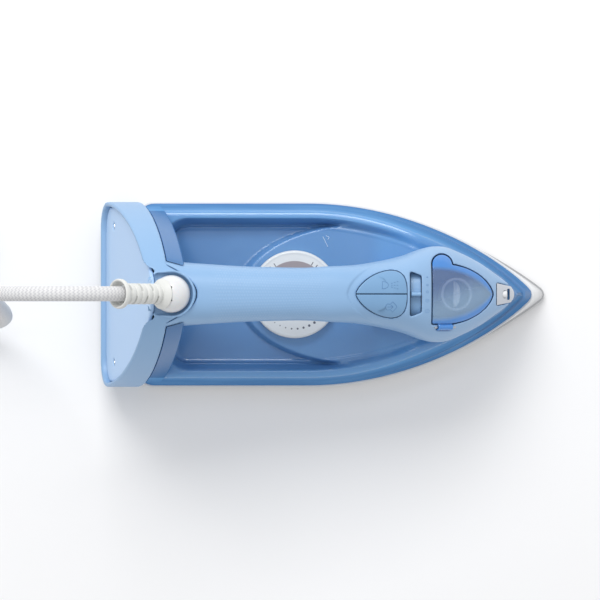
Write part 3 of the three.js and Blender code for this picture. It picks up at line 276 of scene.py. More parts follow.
def hose(line, radius, sides):
    """A closed round tube along line; radius is a number or a function of the share of the way along."""
    line = [Vector(p) for p in line]
    ahead = [(b - a).normalized() for a, b in zip(line, line[1:])]
    ahead.append(ahead[-1])
    side = ahead[0].orthogonal().normalized()
    frames = []
    for i, forward in enumerate(ahead):
        mean = (forward + ahead[max(i - 1, 0)]).normalized()
        side = (side - side.dot(mean) * mean).normalized()
        frames.append((side, mean.cross(side)))
    wide = radius if callable(radius) else lambda share: radius

    def place(u, v):
        i = round(v * (len(line) - 1))
        out, over = frames[i]
        return line[i] + wide(v) * (cos(2 * pi * u) * out + sin(2 * pi * u) * over)

    return closed(skin(sides, len(line) - 1, place))


def build(name, shells, material, body=None, sharp=40):
    """The piece made of some shells, in one material, smooth but for edges sharper than an angle in
    degrees."""
    mesh = bpy.data.meshes.new(name)
    whole = bmesh.new()
    for shell in shells if isinstance(shells, list) else [shells]:
        part = bpy.data.meshes.new("part")
        shell.to_mesh(part)
        shell.free()
        whole.from_mesh(part)
        bpy.data.meshes.remove(part)
    whole.to_mesh(mesh)
    whole.free()
    mesh.shade_smooth()
    mesh.set_sharp_from_angle(angle=radians(sharp))
    mesh.materials.append(material)
    made = bpy.data.objects.new(name, mesh)
    scene.collection.objects.link(made)
    if body:
        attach(made, body)
    return made


def braid(length):
    """Fine two-ply braid: strands cross diagonally, over and under, with a few darker flecks between the
    pale ones."""
    paint = Paint("braided_cotton")
    u, v, _ = paint.axes(paint.node("ShaderNodeTexCoord", output="UV"))
    turn, along = u * 14, v * (length / 2.4)
    left = paint.curve("ABSOLUTE", paint.curve("SINE", pi * (turn + along)))
    right = paint.curve("ABSOLUTE", paint.curve("SINE", pi * (turn - along)))
    over = paint.ease(paint.curve("SINE", 2 * pi * turn), -0.25, 0.25)
    ply = paint.curve("MAXIMUM", left * over, right * (1 - over))
    fleck = paint.ease(paint.cloud(0.9, 1), 0.55, 0.68)
    pale = paint.mix(paint.cloud(5, 2), tint(218, 218, 219), tint(230, 230, 230))
    colour = paint.mix(0.3 * fleck * (1 - ply * 0.6), paint.mix(ply, tint(192, 192, 195), pale),
                       tint(168, 169, 173))
    relief = paint.bump(ply + 0.25 * paint.cloud(0.25, 2), 0.2, 0.8)
    return paint.finish(Base_Color=colour, Roughness=0.82 + 0.12 * fleck, Normal=relief, Sheen_Weight=0.15)


cord_path = route([*cord_rise, *coil(), *cord_tail], 3)
cord_length = float(np.linalg.norm(np.diff(cord_path, axis=0), axis=1).sum())
cord = build("braided_cord", hose(cord_path, cord_diameter / 2, 20), braid(cord_length))
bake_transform(cord)
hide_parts("cord_line", "cord_coil", "cord_tail")

# ---------------------------------------------------------------- plug and coil tie
# A round moulded rubber plug with two round brass pins, its ribbed relief moulded on with it. A flat rubber
# strap holds the stored coil together.
relief_x, plug_x, plug_face, pin_tip = -352.0, -374.3, -408.3, -427.6
plug_y, plug_z, pin_gap, pin_radius = -21.0, 18.4, 9.5, 2.4


def moulded(name, colour, shine=0.45, grain=0.03, grain_size=0.5, tone=0.035, coat=0.0, glow=0.0):
    """Moulded plastic or rubber: a fine spark-eroded grain, and a tone that drifts slightly across the
    piece."""
    paint = Paint(name)
    drift, speck = paint.cloud(38, 3), paint.cloud(grain_size, 2)
    darker, lighter = (tuple(c * (1 + d) for c in colour[:3]) + (1,) for d in (-tone, tone))
    colour = paint.mix(0.7 * drift + 0.3 * speck, darker, lighter)
    return paint.finish(
        Base_Color=colour, Roughness=shine + 0.14 * (speck - 0.5) + 0.08 * (drift - 0.5),
        Normal=paint.bump(speck, grain), Coat_Weight=coat, Coat_Roughness=0.08, Subsurface_Weight=glow,
        Subsurface_Radius=(0.4, 0.7, 1.0), Subsurface_Scale=0.003,
    )


def turned(start, end, stations, sides=48):
    """A round piece turned about the line from start to end: stations are (share of the way, radius)
    pairs."""
    a, b = Vector(start), Vector(end)
    centres, radii = [a.lerp(b, share) for share, _ in stations], [radius for _, radius in stations]
    return hose_rings(centres, radii, b - a, sides)


def hose_rings(centres, radii, axis, sides):
    """Rings of these radii about these centres, all square to one axis, closed at both ends."""
    ahead = axis.normalized()
    out = ahead.orthogonal().normalized()
    over = ahead.cross(out)

    def place(u, v):
        i = round(v * (len(centres) - 1))
        return centres[i] + radii[i] * (cos(2 * pi * u) * out + sin(2 * pi * u) * over)

    return closed(skin(sides, len(centres) - 1, place))


rubber_grey = moulded("grey_rubber", tint(206, 207, 207), 0.55, 0.05, 0.7)
plug_stations = [(0, 9), (0.02, 11), (0.1, 13.2), (0.35, 15.6), (0.6, 17.2), (0.72, 17.6), (0.74, 18),
                 (0.96, 18), (0.99, 17.5), (1, 16.6)]
plug_body = turned((plug_x, plug_y, plug_z), (plug_face, plug_y, plug_z), plug_stations)
plug = build("plug", plug_body, rubber_grey, "swivel")
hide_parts("plug_body")
ribs = [(0, 5.1)]
for rib in range(5):
    wide = 5.6 + 0.62 * rib
    start = 0.06 + 0.18 * rib
    ribs += [(start, wide - 0.5), (start + 0.02, wide), (start + 0.1, wide + 0.15),
             (start + 0.12, wide - 0.4)]
ribs += [(0.95, 8.2), (1, 8.8)]
relief_body = turned((relief_x, plug_y, plug_z), (plug_x, plug_y, plug_z), ribs)
relief = build("plug_sleeve", relief_body, rubber_grey, "swivel")
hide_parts("plug_relief")


def brushed(name, colour, shine=0.28, size=0.8, stretch=(1, 1, 1), metal=1.0):
    """Bare metal with fine drawing lines along it."""
    paint = Paint(name)
    lines = paint.cloud(size, 3, 0.6, stretch=stretch)
    return paint.finish(
        Base_Color=paint.mix(lines, tuple(0.9 * c for c in colour[:3]) + (1,), colour),
        Roughness=shine + 0.18 * (lines - 0.5), Normal=paint.bump(lines, 0.02), Metallic=metal,
    )


pin_brass = brushed("pin_brass", tint(214, 190, 126), stretch=(0.1, 1, 1))
pin_stations = [(0, pin_radius), (0.45, pin_radius), (0.46, pin_radius - 0.2), (0.93, pin_radius - 0.2),
                (0.98, 1.7), (1, 0.9)]
for number, side in enumerate((1, -1), 1):
    pin_y = plug_y + side * pin_gap
    pin_body = turned((plug_face, pin_y, plug_z), (pin_tip, pin_y, plug_z), pin_stations, 24)
    pin = build(f"plug_contact_{number}", pin_body, pin_brass, "swivel")
    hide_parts(f"plug_pin_{number}")


def strap(inner, thickness, wide):
    """A closed band round a rounded box, which is given by its low and high corner in y and z. The band is
    thickness thick, and reaches wide each way along x."""
    (low_y, low_z), (high_y, high_z) = inner
    corner = 3.0
    around = []
    for k, (cy, cz) in enumerate([(high_y, high_z), (low_y, high_z), (low_y, low_z), (high_y, low_z)]):
        cy += corner * (-1 if cy == high_y else 1)
        cz += corner * (-1 if cz == high_z else 1)
        for step in range(7):
            angle = pi / 2 * (k + step / 6)
            around.append((cy, cz, cos(angle), sin(angle)))
    section = [(-wide, 0), (-wide, thickness), (wide, thickness), (wide, 0), (-wide, 0)]

    def place(u, v):
        cy, cz, out_y, out_z = around[round(u * len(around)) % len(around)]
        x, lift = section[round(v * 4)]
        return x + coil_x, cy + (corner + lift) * out_y, cz + (corner + lift) * out_z

    shell = skin(len(around), 4, place)
    bmesh.ops.recalc_face_normals(shell, faces=shell.faces)
    return shell


tie_box = ((coil_y + 30.2, 1.2), (coil_y + 64.0, 20.0))
dark_rubber = moulded("dark_rubber", tint(70, 73, 78), 0.6, 0.05, 0.8)
tie = build("coil_strap", strap(tie_box, 0.9, 6), dark_rubber, "swivel", 30)
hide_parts("coil_tie")

# ---------------------------------------------------------------- sole plate
# A die-cast aluminium plate, ground flat and coated underneath, pointed at the tip, with a rim that shows
# round the skirt and steam holes drilled through. Its casting rises inside the skirt to hold the heating
# element.
sole_plan = dict(half=62.5, rear=-125, shoulder=-10, tip=150, corner=12, bow=1.85, taper=0.93)
sole_edge, casting_top, casting_inset, steam_hole = 4.5, 11.0, 9.0, 1.6


def flank(plan, x):
    """Half the width at x: straight sides from the heel, drawn in by a power curve to the tip."""
    share = max(0.0, min(1.0, (x - plan["shoulder"]) / (plan["tip"] - plan["shoulder"])))
    return plan["half"] * (1 - share ** plan["bow"]) ** plan["taper"]


def blunt(side, radius):
    """A half outline from its pointed tip, with the tip rounded to a radius."""
    side = np.array(side)
    low, high = side[0, 0] - 6 * radius, side[0, 0]
    for _ in range(30):
        middle = (low + high) / 2
        near = np.hypot(side[:, 0] - middle, side[:, 1])
        low, high = (middle, high) if near.min() > radius else (low, middle)
    touch = int(near.argmin())
    turn = atan2(side[touch, 1], side[touch, 0] - middle)
    nose = [(middle + radius * cos(a), radius * sin(a)) for a in np.linspace(0, turn, 14)]
    return [*nose, *map(tuple, side[touch + 1:])]


def trace(plan, inset=0.0):
    """The outline as a function of the share of the way round, from the rounded tip along +Y to the heel and
    back."""
    tip_radius, cut_by_rounding = 5.5 - min(inset, 2.5), 3.0
    inner = plan | {"half": plan["half"] - inset, "tip": plan["tip"] + cut_by_rounding - 1.5 * inset}
    corner = max(plan["corner"] - inset, 1)
    corner_x = plan["rear"] + inset + corner
    side = [(inner["tip"], 0.0)]
    for share in np.linspace(0, 1, 240)[1:]:
        x = inner["tip"] - (inner["tip"] - corner_x) * share ** 1.5
        side.append((x, flank(inner, x)))
    side = blunt(side, tip_radius)
    for angle in np.linspace(pi / 2, pi, 16)[1:]:
        side.append((corner_x + corner * cos(angle), inner["half"] - corner + corner * sin(angle)))
    loop = np.array(side + [(x, -y) for x, y in reversed(side)])
    run = np.concatenate([[0], np.cumsum(np.hypot(*np.diff(loop, axis=0).T))])
    return lambda u: (np.interp(u * run[-1], run, loop[:, 0]), np.interp(u * run[-1], run, loop[:, 1]))


def stack(levels, around=300):
    """A closed body through level outlines: each level is an outline function and its height."""

    def place(u, v):
        outline, height = levels[round(v * (len(levels) - 1))]
        return *outline(u), height

    return closed(skin(around, len(levels) - 1, place))


def sole_metal():
    """Satin coated metal: fine grinding lines along the sole, a few cloudy patches and faint scuffs scattered
    over it."""
    paint = Paint("sole_metal")
    lines, patch = paint.cloud(0.5, 3, 0.6, stretch=(0.06, 1, 1)), paint.cloud(30, 3)
    scuff = paint.ease(paint.cloud(2.2, 4, 0.65, stretch=(0.3, 1, 1)), 0.62, 0.7)
    colour = paint.mix(patch, tint(176, 177, 180), tint(196, 197, 199))
    return paint.finish(
        Base_Color=paint.mix(0.25 * scuff, colour, tint(225, 226, 228)), Metallic=0.85,
        Roughness=0.3 + 0.12 * lines - 0.08 * scuff, Normal=paint.bump(lines, 0.02),
    )


def bores(spots, low, high):
    """Upright round cutters: spots are (x, y, radius)."""
    made = bmesh.new()
    for x, y, radius in spots:
        bmesh.ops.create_cone(made, cap_ends=True, segments=20, radius1=radius * MM, radius2=radius * MM,
                              depth=(high - low) * MM,
                              matrix=Matrix.Translation(Vector((x, y, (low + high) / 2)) * MM))
    return made


def carve(shell, cutters, operation="DIFFERENCE"):
    """The shell cut by, or with another operation joined or limited to, each cutter in turn."""
    whole = build("blank", shell, None)
    for cutter in cutters:
        tool = build("tool", cutter, None)
        boolean = whole.modifiers.new("cut", "BOOLEAN")
        boolean.object, boolean.operation, boolean.solver = tool, operation, "EXACT"
    whole.data.materials.clear()
    mesh = whole.evaluated_get(bpy.context.evaluated_depsgraph_get()).to_mesh()
    result = bmesh.new()
    result.from_mesh(mesh)
    for thing in [m.object for m in whole.modifiers] + [whole]:
        bpy.data.meshes.remove(thing.data)
    return result


sole_levels = [(trace(sole_plan, 1.4), 0), (trace(sole_plan, 0.7), 0.25), (trace(sole_plan, 0.2), 0.8),
               (trace(sole_plan), 1.5), (trace(sole_plan), 4.1), (trace(sole_plan, 0.4), sole_edge),
               (trace(sole_plan, casting_inset), sole_edge),
               (trace(sole_plan, casting_inset + 0.6), casting_top)]
holes = [(x, side * 0.42 * flank(sole_plan, x), steam_hole)
         for x in (-70, -35, 0, 35, 65) for side in (1, -1)]
holes.append((94, 0, steam_hole))
sole = build("sole", carve(stack(sole_levels), [bores(holes, -1, 6)]), sole_metal(), "iron")
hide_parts("soleplate")

# ---------------------------------------------------------------- skirt
# A white moulded ring that shields the shells from the sole's heat. Its outside leans in from the sole's
# outline to the tank's, and its lip stands a little outside the tank all the way round.
skirt_foot, skirt_top, skirt_deck, tank_foot = 4.8, 19.7, 18.2, 20.0


def tank_plan(z):
    """The tank leans in as it rises, and its rear face follows the heel housing's front."""
    rise = z - tank_foot
    return dict(half=61 - 0.141 * rise, rear=-128.5 + 0.237 * z, shoulder=-10, tip=138.5 - 0.35 * rise,
                corner=10, bow=1.95, taper=0.85)


skirt_rim = tank_plan(tank_foot)
skirt_levels = [(trace(skirt_rim, 1.8), skirt_deck - 1.8), (trace(sole_plan, 3), skirt_foot),
                (trace(sole_plan, 1.9), skirt_foot), (trace(sole_plan, 1.6), skirt_foot + 0.4),
                (trace(sole_plan, 1.5), skirt_foot + 1.6), (trace(skirt_rim, -1.2), skirt_top - 0.6),
                (trace(skirt_rim, -1), skirt_top - 0.15), (trace(skirt_rim, -0.5), skirt_top),
                (trace(skirt_rim, 0.3), skirt_top - 0.2), (trace(skirt_rim, 0.4), skirt_deck)]
skirt_white = moulded("skirt_white", tint(232, 233, 234), 0.32, 0.012, 0.4, 0.02, 0.2)
skirt = build("skirt", stack(skirt_levels), skirt_white, "iron")
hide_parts("heat_shield")

# ---------------------------------------------------------------- water tank
# Two injection-moulded shells in clear blue plastic, welded at a fine line and polished outside. The upper
# one has a bead round its rim and a pocket on each side for the fingers; inside an oval step its floor
# carries the dial.
tank_joint, pocket_floor, platform, rim_roll, short_of_tip = 38.0, 54.0, 60.0, 3.2, 0.2
rim_plan = dict(half=49.5, rear=-104, shoulder=-10, tip=112, corner=16, bow=1.95, taper=0.85)
step_x, step_long, step_wide = 24.0, 80.0, 46.0


def profile(*pairs):
    """A smooth function through (place, size) pairs, level beyond its two ends."""
    places, sizes = zip(*pairs)
    last = len(pairs) - 1
    beside = [(min(i + 1, last), max(i - 1, 0)) for i in range(len(pairs))]
    slopes = [(sizes[after] - sizes[before]) / (places[after] - places[before]) for after, before in beside]

    def at(x):
        if x <= places[0] or x >= places[-1]:
            return sizes[0] if x <= places[0] else sizes[-1]
        i = next(k for k in range(last) if places[k + 1] > x)
        span = places[i + 1] - places[i]
        t = (x - places[i]) / span
        ends = sizes[i] * (2 * t**3 - 3 * t**2 + 1) + sizes[i + 1] * (3 * t**2 - 2 * t**3)
        return ends + span * (slopes[i] * (t**3 - 2 * t**2 + t) + slopes[i + 1] * (t**3 - t**2))

    return at


def steady(value):
    """A function that gives the same value everywhere."""
    return lambda place: value


roof = profile((-120, 66), (0, 66), (22, 67), (42, 70.5), (58, 73.5), (70, 72), (90, 66.5), (110, 59.3),
               (124.5, 52.4), (140, 46))


def ease(value, low, high):
    """0 below low, 1 above high and smooth between."""
    t = min(1.0, max(0.0, (value - low) / (high - low)))
    return t * t * (3 - 2 * t)


def bent_flank(plan, x, nose=8.0):
    """Half the width at x, with the heel's corners and the tip rounded."""
    nose_x = plan["tip"] - nose
    if x > nose_x:
        share, start = min(1.0, (x - nose_x) / nose), flank(plan, nose_x)
        slope = flank(plan, nose_x + 0.5) - flank(plan, nose_x - 0.5)
        return start * sqrt(1 - share) * (1 + (0.5 + slope * nose / start) * share)
    behind = plan["rear"] + plan["corner"] - x
    round_off = plan["corner"] - sqrt(max(0.0, plan["corner"] ** 2 - max(behind, 0.0) ** 2))
    return flank(plan, x) - round_off


def tank_height(x, y, half):
    """The moulded top: a rounded bead at the rim, a second fine bead inside it, then the pocket or the
    platform."""
    steep = (bent_flank(rim_plan, x - 1) - bent_flank(rim_plan, x + 1)) / 2 if x < rim_plan["tip"] - 2 else 1
    inside = (bent_flank(rim_plan, x) - abs(y)) / sqrt(1 + steep * steep) if x < rim_plan["tip"] - 1 else -9.0
    inside = min(inside, x - rim_plan["rear"])
    edge = max(0.0, half - abs(y)) * 0.9
    crest = roof(x) - (rim_roll - sqrt(max(0.0, rim_roll**2 - (rim_roll - min(edge, rim_roll)) ** 2)))
    reach = hypot((x - step_x) / step_long, y / step_wide)
    on_step = ease((1 - reach) * step_wide, -1.2, 1.6)
    floor = pocket_floor + (platform - pocket_floor) * on_step
    floor += 0.9 * ease(abs((1 - reach) * step_wide - 1.2), 2.2, 0) * (1 - on_step)
    front = ease(x, 2, 62)
    floor += (crest - 1.1 - floor) * front
    bank = ease(inside, -0.4, 4.6)
    bead = 0.75 * ease(abs(inside - 6.0), 1.7, 0) * (1 - 0.6 * front)
    return crest + (floor - crest) * bank + bead * (1 - 0.5 * on_step)


top_cells, wall_cells = 170, 9
cross = [("floor", 0.0)] + [("wall", -k / wall_cells) for k in range(wall_cells, 0, -1)]
cross += [("top", -1 + 2 * k / top_cells) for k in range(top_cells + 1)]
cross += [("wall", k / wall_cells) for k in range(1, wall_cells + 1)] + [("floor", 0.0)]


def along_tank(plan, u):
    """x at a share of the way from the rear face to just short of the tip."""
    return plan["rear"] + (plan["tip"] - short_of_tip - plan["rear"]) * u


def tank_place(u, v):
    """Round the tank at a share of its length: from its floor up one wall, over the top and down the
    other."""
    kind, share = cross[round(v * (len(cross) - 1))]
    u = 1 - (1 - u) ** 1.5
    rim = tank_plan(roof(-120 + 245 * u))
    x, floor = along_tank(rim, u), tank_joint + 0.3
    if kind == "top":
        half = bent_flank(rim, x)
        spread = sin(share * pi / 2) * 0.35 + share * 0.65
        return x, half * spread, tank_height(x, half * spread, half)
    if kind == "floor":
        return along_tank(tank_plan(floor), u), 0, floor
    crest = roof(x) - rim_roll
    height = crest + (floor - crest) * abs(share)
    side = tank_plan(height)
    x = along_tank(side, u)
    return x, (1 if share > 0 else -1) * bent_flank(side, x), height


def tank_blue():
    """Clear blue plastic, polished and slightly wavy, with painted shade in the pockets, low on the walls,
    towards the nose and beside the heel, and a painted highlight along the rim bead. The steep walls don't
    shine, because they look into the blue of the shell behind them."""
    paint = Paint("tank_blue")
    x, y, z = paint.axes()
    swirl = paint.cloud(26, 2, 0.5, stretch=(0.5, 1, 1))
    # Painted shade: the pockets, lower down, are painted a deeper blue.
    deep = 1 - paint.ease(z, 51, 62)
    # Painted highlight: the rim bead at the top is painted brighter, fading out towards the front.
    rim_highlight = paint.ease(z, 62.5, 66) * (1 - paint.ease(x, 40, 95))
    colour = paint.mix(deep, tint(94, 143, 195), tint(86, 133, 184))
    colour = paint.mix(0.75 * rim_highlight, colour, tint(99, 155, 208))
    # Painted shade: the tank is painted darker towards the nose.
    nose = paint.ease(x, 70, 130)
    colour = paint.mix(0.5 * nose, colour, tint(80, 127, 176))
    # Painted shade: darker low on the walls.
    colour = paint.mix(0.3 * (1 - paint.ease(z, 18, 50)), colour, tint(62, 112, 172))
    colour = paint.mix(0.4 * paint.ease(swirl, 0.4, 0.75), colour, tint(108, 157, 206))
    # Painted shade beside the heel, where the handle's arch rises out of the tank.
    heel_shade = paint.ease(z, 67, 70) * (1 - paint.ease(x, -80, -70))
    colour = paint.mix(0.85 * heel_shade, colour, tint(66, 110, 162))
    wave = paint.bump(swirl, 0.3, 0.3)
    polished = paint.shader(
        Base_Color=colour, Roughness=0.2 + 0.1 * swirl, Coat_Weight=0.45, Coat_Roughness=0.1, Normal=wave,
        Subsurface_Weight=0.12, Subsurface_Radius=(0.3, 0.6, 1.0), Subsurface_Scale=0.006,
    )
    sides = paint.shader(Base_Color=colour, Roughness=0.26 + 0.1 * swirl, Specular_IOR_Level=0.0, Normal=wave)
    facing = paint.axes(paint.node("ShaderNodeTexCoord", output="Normal"))[2]
    flat = paint.ease(facing, 0.2, 0.55)
    return paint.surface(paint.node("ShaderNodeMixShader", None, {0: flat, 1: sides, 2: polished}))


clear_blue = tank_blue()
upper_tank = closed(skin(240, len(cross) - 1, tank_place))

# The handle's half width, crown, seam and belly along x. The neck under the front cover follows them.
neck_rear, neck_front, belly_end = 30.6, 103.0, 38.0
handle_half = profile(
    (-112, 23.6), (-95, 20.9), (-87, 19.7), (-71, 18.5), (-51, 17.3), (-30, 16.7), (-12, 16.5), (2.5, 17.4),
    (18, 18.3), (34, 20.9), (49, 24.5), (59, 28.2), (66, 30.2), (71, 30.8), (78, 30.3), (88, 26.6),
    (101, 20.2), (113, 12.3), (118, 8.8), (121.5, 6), (123.6, 3.4), (124.6, 1.2), (125.5, 0.6))
handle_top = profile(
    (-112, 146.5), (-95, 146), (-70, 142.5), (-40, 138), (-10, 133.5), (20, 128.5), (40, 123.5), (53, 118.5),
    (62, 113.5), (70, 108), (85, 96), (100, 82), (112, 69.5), (120, 60), (125.5, 54))
handle_seam = profile(
    (-112, 122), (-70, 121), (-40, 119), (-10, 116), (10, 110), (25, 98), (38, 88), (52, 81), (68, 77.5),
    (90, 69.5), (110, 60.5), (125.5, 53.2))
belly = profile(
    (-112, 112), (-95, 112), (-70, 108), (-40, 106.5), (-10, 104), (10, 99), (22, 93), (30, 88),
    (belly_end, 87.9))


def neck_place(u, v):
    """Rings across the neck at each x: up one flank, under the cover's edge and down the other."""
    x = neck_rear + (neck_front - neck_rear) * v
    half, under_cover = max(handle_half(x) - 0.5, 0.4), handle_seam(x)
    top = (min(under_cover, belly(x)) if x < belly_end else under_cover) - 0.4
    foot, waist = tank_joint + 14, tank_joint + 24
    corners = [(half + 1.2, foot), (half, waist), (half, top), (-half, top), (-half, waist),
               (-half - 1.2, foot)]
    return x, *corners[round(u * 6) % 6]


neck = closed(skin(6, 40, neck_place))


def heel_front(z):
    """x of the heel housing's leaning front at a height."""
    return -129.5 + 0.237 * z


def heel_rear(z):
    """x of its rear face, which leans a little more."""
    return -154.4 + 0.315 * z


def arch(plane, inset=0.0, shift=0.0, around=96):
    """A function round the heel's arch in a leaning plane: a wide foot, round corners, drawn in to the
    crown."""
    half, crown, bottom, widest, corner = 61.5 - inset, 147 - inset, 14 + inset, 30, 16
    right = [(0.0, bottom)]
    for angle in np.linspace(0, pi / 2, 12):
        right.append((half - corner * (1 - sin(angle)), widest - (widest - bottom) * cos(angle)))
    for rise in np.linspace(0, 1, 90)[1:]:
        eased = 1 - (1 - rise) ** 1.7
        right.append((half * (1 - eased**1.6) ** 0.6, widest + (crown - widest) * eased))
    loop = np.array(right + [(-y, z) for y, z in reversed(right[:-1])])
    run = np.concatenate([[0], np.cumsum(np.hypot(*np.diff(loop, axis=0).T))])

    def at(u):
        y, z = np.interp(u * run[-1], run, loop[:, 0]), np.interp(u * run[-1], run, loop[:, 1])
        return plane(z) + shift, y, z

    return at


def through(rings, around):
    """A closed body through rings; each ring is a function of the share of the way round it."""
    return closed(skin(around, len(rings) - 1, lambda u, v: rings[round(v * (len(rings) - 1))](u)))


def slab(low, high):
    """A box from its lowest corner to its highest."""
    made = bmesh.new()
    low, high = Vector(low), Vector(high)
    size = Matrix.Diagonal((*(high - low) * MM, 1))
    bmesh.ops.create_cube(made, size=1, matrix=Matrix.Translation((low + high) / 2 * MM) @ size)
    return made


def handle_ring(x, inset=0.0, bottom=None):
    """Round one cross-section of the handle: squarish shoulders above and below its seam line."""
    half, seam = max(handle_half(x) - inset, 0.3), handle_seam(x)
    top = max(handle_top(x) - inset, seam + 0.2)
    low = min((belly(x) if x < belly_end else seam) + inset, seam - 0.1) if bottom is None else bottom(x)

    def at(u):
        c, s = cos(2 * pi * u), sin(2 * pi * u)
        y, rise = half * abs(c) ** 0.8 * (1 if c > 0 else -1), abs(s) ** 0.8
        return x, y, seam + (top - seam) * rise if s >= 0 else seam - (seam - low) * rise

    return at


def handle_body(start, end, inset=0.0, rings=120, around=96, bottom=None):
    """The handle's solid form between two places along x, drawn in by inset; bottom replaces its
    underside."""
    places = np.linspace(start, end, rings)
    return through([handle_ring(x, inset, bottom) for x in places], around)


post_rings = [arch(heel_front, 1.8, 0.3), arch(heel_front, 1.1, 0.5), arch(heel_front, 1, 1.2),
              arch(heel_front, 1, 9.2), arch(heel_front, 1.3, 10.1), arch(heel_front, 2.2, 10.8)]
post_block = slab((-130, -80, 53), (0, 80, 138))
post_arch = carve(carve(through(post_rings, 120), [post_block], "INTERSECT"),
                  [handle_body(-125, -40, -0.6, 40, 48, steady(111.5))])
upper = build("tank_upper_shell", [upper_tank, neck, post_arch], clear_blue, "iron", 32)
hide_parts("tank_top")
lower_levels = [(trace(tank_plan(tank_foot), 1.2), tank_foot), (trace(tank_plan(20.3), 0.4), 20.2)]
lower_levels += [(trace(tank_plan(z)), z) for z in (21, 26, 31, 36, 37.6)]
lower_levels.append((trace(tank_plan(tank_joint), 0.5), tank_joint))
lower = build("tank_lower_shell", stack(lower_levels, 260), clear_blue, "iron", 32)
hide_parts("tank_base")

# ---------------------------------------------------------------- temperature dial
# A white disc that stands out under the handle on both sides, moulded with a shallow finger rim. Dots that
# grow with the heat are printed round its lower half, and short strokes and a brown-grey patch on the upper
# one.
dial_x, dial_foot, dial_top = -19.0, 60.3, 65.5


def printed_dial():
    """White plastic with printed marks, placed by their distance and angle from the dial's middle."""
    paint = Paint("printed_dial")
    x, y, _ = paint.axes()
    out = ((x - dial_x) * (x - dial_x) + y * y) ** 0.5
    angle = paint.curve("ARCTAN2", y, x - dial_x) * (180 / pi)
    beside = (angle % 10 - 5) * (pi / 180) * out
    size = 0.32 + 0.55 * paint.ease(angle, -130, -45)
    from_dot = ((out - 22.4) * (out - 22.4) + beside * beside) ** 0.5
    lower = paint.ease(angle, -132, -131) * (1 - paint.ease(angle, -46, -45))
    dots = (1 - paint.ease(from_dot - size, -0.08, 0.1)) * lower
    across = (angle % 8 - 4) * (pi / 180) * out
    upper = paint.ease(angle, 34, 35) * (1 - paint.ease(angle, 66, 67))
    upper = upper + paint.ease(angle, 118, 119) * (1 - paint.ease(angle, 142, 143))
    stroke = (1 - paint.ease(paint.curve("ABSOLUTE", across), 0.2, 0.36)) * upper
    stroke = stroke * paint.ease(out, 21.6, 21.8) * (1 - paint.ease(out, 24, 24.2))
    patch = (1 - paint.ease(out, 21.4, 21.8)) * paint.ease(y, 4, 5)
    speck = paint.cloud(0.5, 2)
    white = paint.mix(paint.cloud(20, 2), tint(214, 219, 221), tint(222, 226, 228))
    colour = paint.mix(0.9 * patch, white, paint.mix(speck, tint(136, 125, 131), tint(146, 136, 141)))
    colour = paint.mix(paint.curve("MINIMUM", dots + stroke, 1.0), colour, tint(88, 92, 104))
    return paint.finish(Base_Color=colour, Roughness=0.36 + 0.1 * speck, Normal=paint.bump(speck, 0.012),
                        Coat_Weight=0.2)


dial_stations = [(0, 6), (0, 27.9), (0.08, 28.4), (0.2, 28.5), (0.7, 28.5), (0.86, 28.3), (0.96, 27.8),
                 (1, 27.1), (0.99, 26.6), (0.955, 26.1), (0.95, 25.6), (0.95, 12), (0.95, 5)]
disc = turned((dial_x, 0, dial_foot), (dial_x, 0, dial_top), dial_stations, 144)
dial = build("dial", disc, printed_dial(), "dial")
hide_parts("temperature_dial")

# ---------------------------------------------------------------- handle and front cover
# One long matt body of glass-filled plastic in two clipped shells: it springs from the heel, arches over the
# hand opening and spreads into the cover in front. A raised dot pattern is etched into the grip.
wall = 2.2
leaf_rear, leaf_long, leaf_half = 18.8, 32.6, 15.0
slot_rear, slot_front = 53.2, 60.6
door_rear, door_half, door_long = 67.0, 19.3, 42.5
nozzle_rear = 111.5
handle_front = 124.5


def bezier(a, b, c, d, count):
    """Points along a cubic between a and d."""
    steps = [k / count for k in range(count + 1)]
    return [tuple(a[i] * (1 - t)**3 + 3 * b[i] * t * (1 - t)**2 + 3 * c[i] * t * t * (1 - t) + d[i] * t**3
                  for i in (0, 1)) for t in steps]


def mirrored(upper):
    """A closed outline from its upper half, which starts and may end on the middle line."""
    lower = [(x, -y) for x, y in reversed(upper) if abs(y) > 1e-6]
    return [*upper, *lower]


def leaf(inset=0.0):
    """The opening of the two buttons: a leaf, pointed behind and blunt in front."""
    middle, half = leaf_rear + 0.68 * leaf_long, leaf_half - inset
    back, front = leaf_rear + inset, leaf_rear + leaf_long - inset
    rear_side = bezier((back, 0), (back + 1.5, 0.4 * half), (back + 0.34 * leaf_long, 0.95 * half),
                       (middle, half), 18)
    front_side = bezier((middle, half), (front - 0.05 * leaf_long, half), (front, 0.6 * half), (front, 0), 18)
    return mirrored([*rear_side, *front_side[1:]])


def door_outline(inset=0.0):
    """The fill door's opening: straight behind, its sides drawn in to a soft point in front."""
    half, back, front = door_half - inset, door_rear + inset, door_rear + door_long - inset
    curve = bezier((back + 0.31 * door_long, half), (back + 0.68 * door_long, 0.91 * half),
                   (front - 0.035 * door_long, 0.42 * half), (front, 0), 20)
    return mirrored([(back, half), *curve])


def slot_outline(inset=0.0):
    """The steam slider's slot, a little wider behind."""
    return mirrored([(slot_rear + inset, 14.3 - 1.1 * inset), (slot_front - inset, 11.5 - 1.1 * inset)])


def nozzle_outline(inset=0.0):
    """The notch in the cover's nose that the nozzle insert fills."""
    return mirrored([(nozzle_rear + inset, 7.5 - inset), (130, 4 - inset)])


def prism(outline, low, high, across=False):
    """A closed outline in plan carried from one height to another; across carries one in x and z along y
    instead."""
    made = bmesh.new()
    corner = (lambda p, q, h: (p, h, q)) if across else (lambda p, q, h: (p, q, h))
    face = made.faces.new([made.verts.new(Vector(corner(p, q, low)) * MM) for p, q in outline])
    grown = bmesh.ops.extrude_face_region(made, geom=[face])
    lift = Vector(corner(0, 0, high - low)) * MM
    bmesh.ops.translate(made, vec=lift, verts=[v for v in grown["geom"] if isinstance(v, bmesh.types.BMVert)])
    bmesh.ops.recalc_face_normals(made, faces=made.faces)
    return made


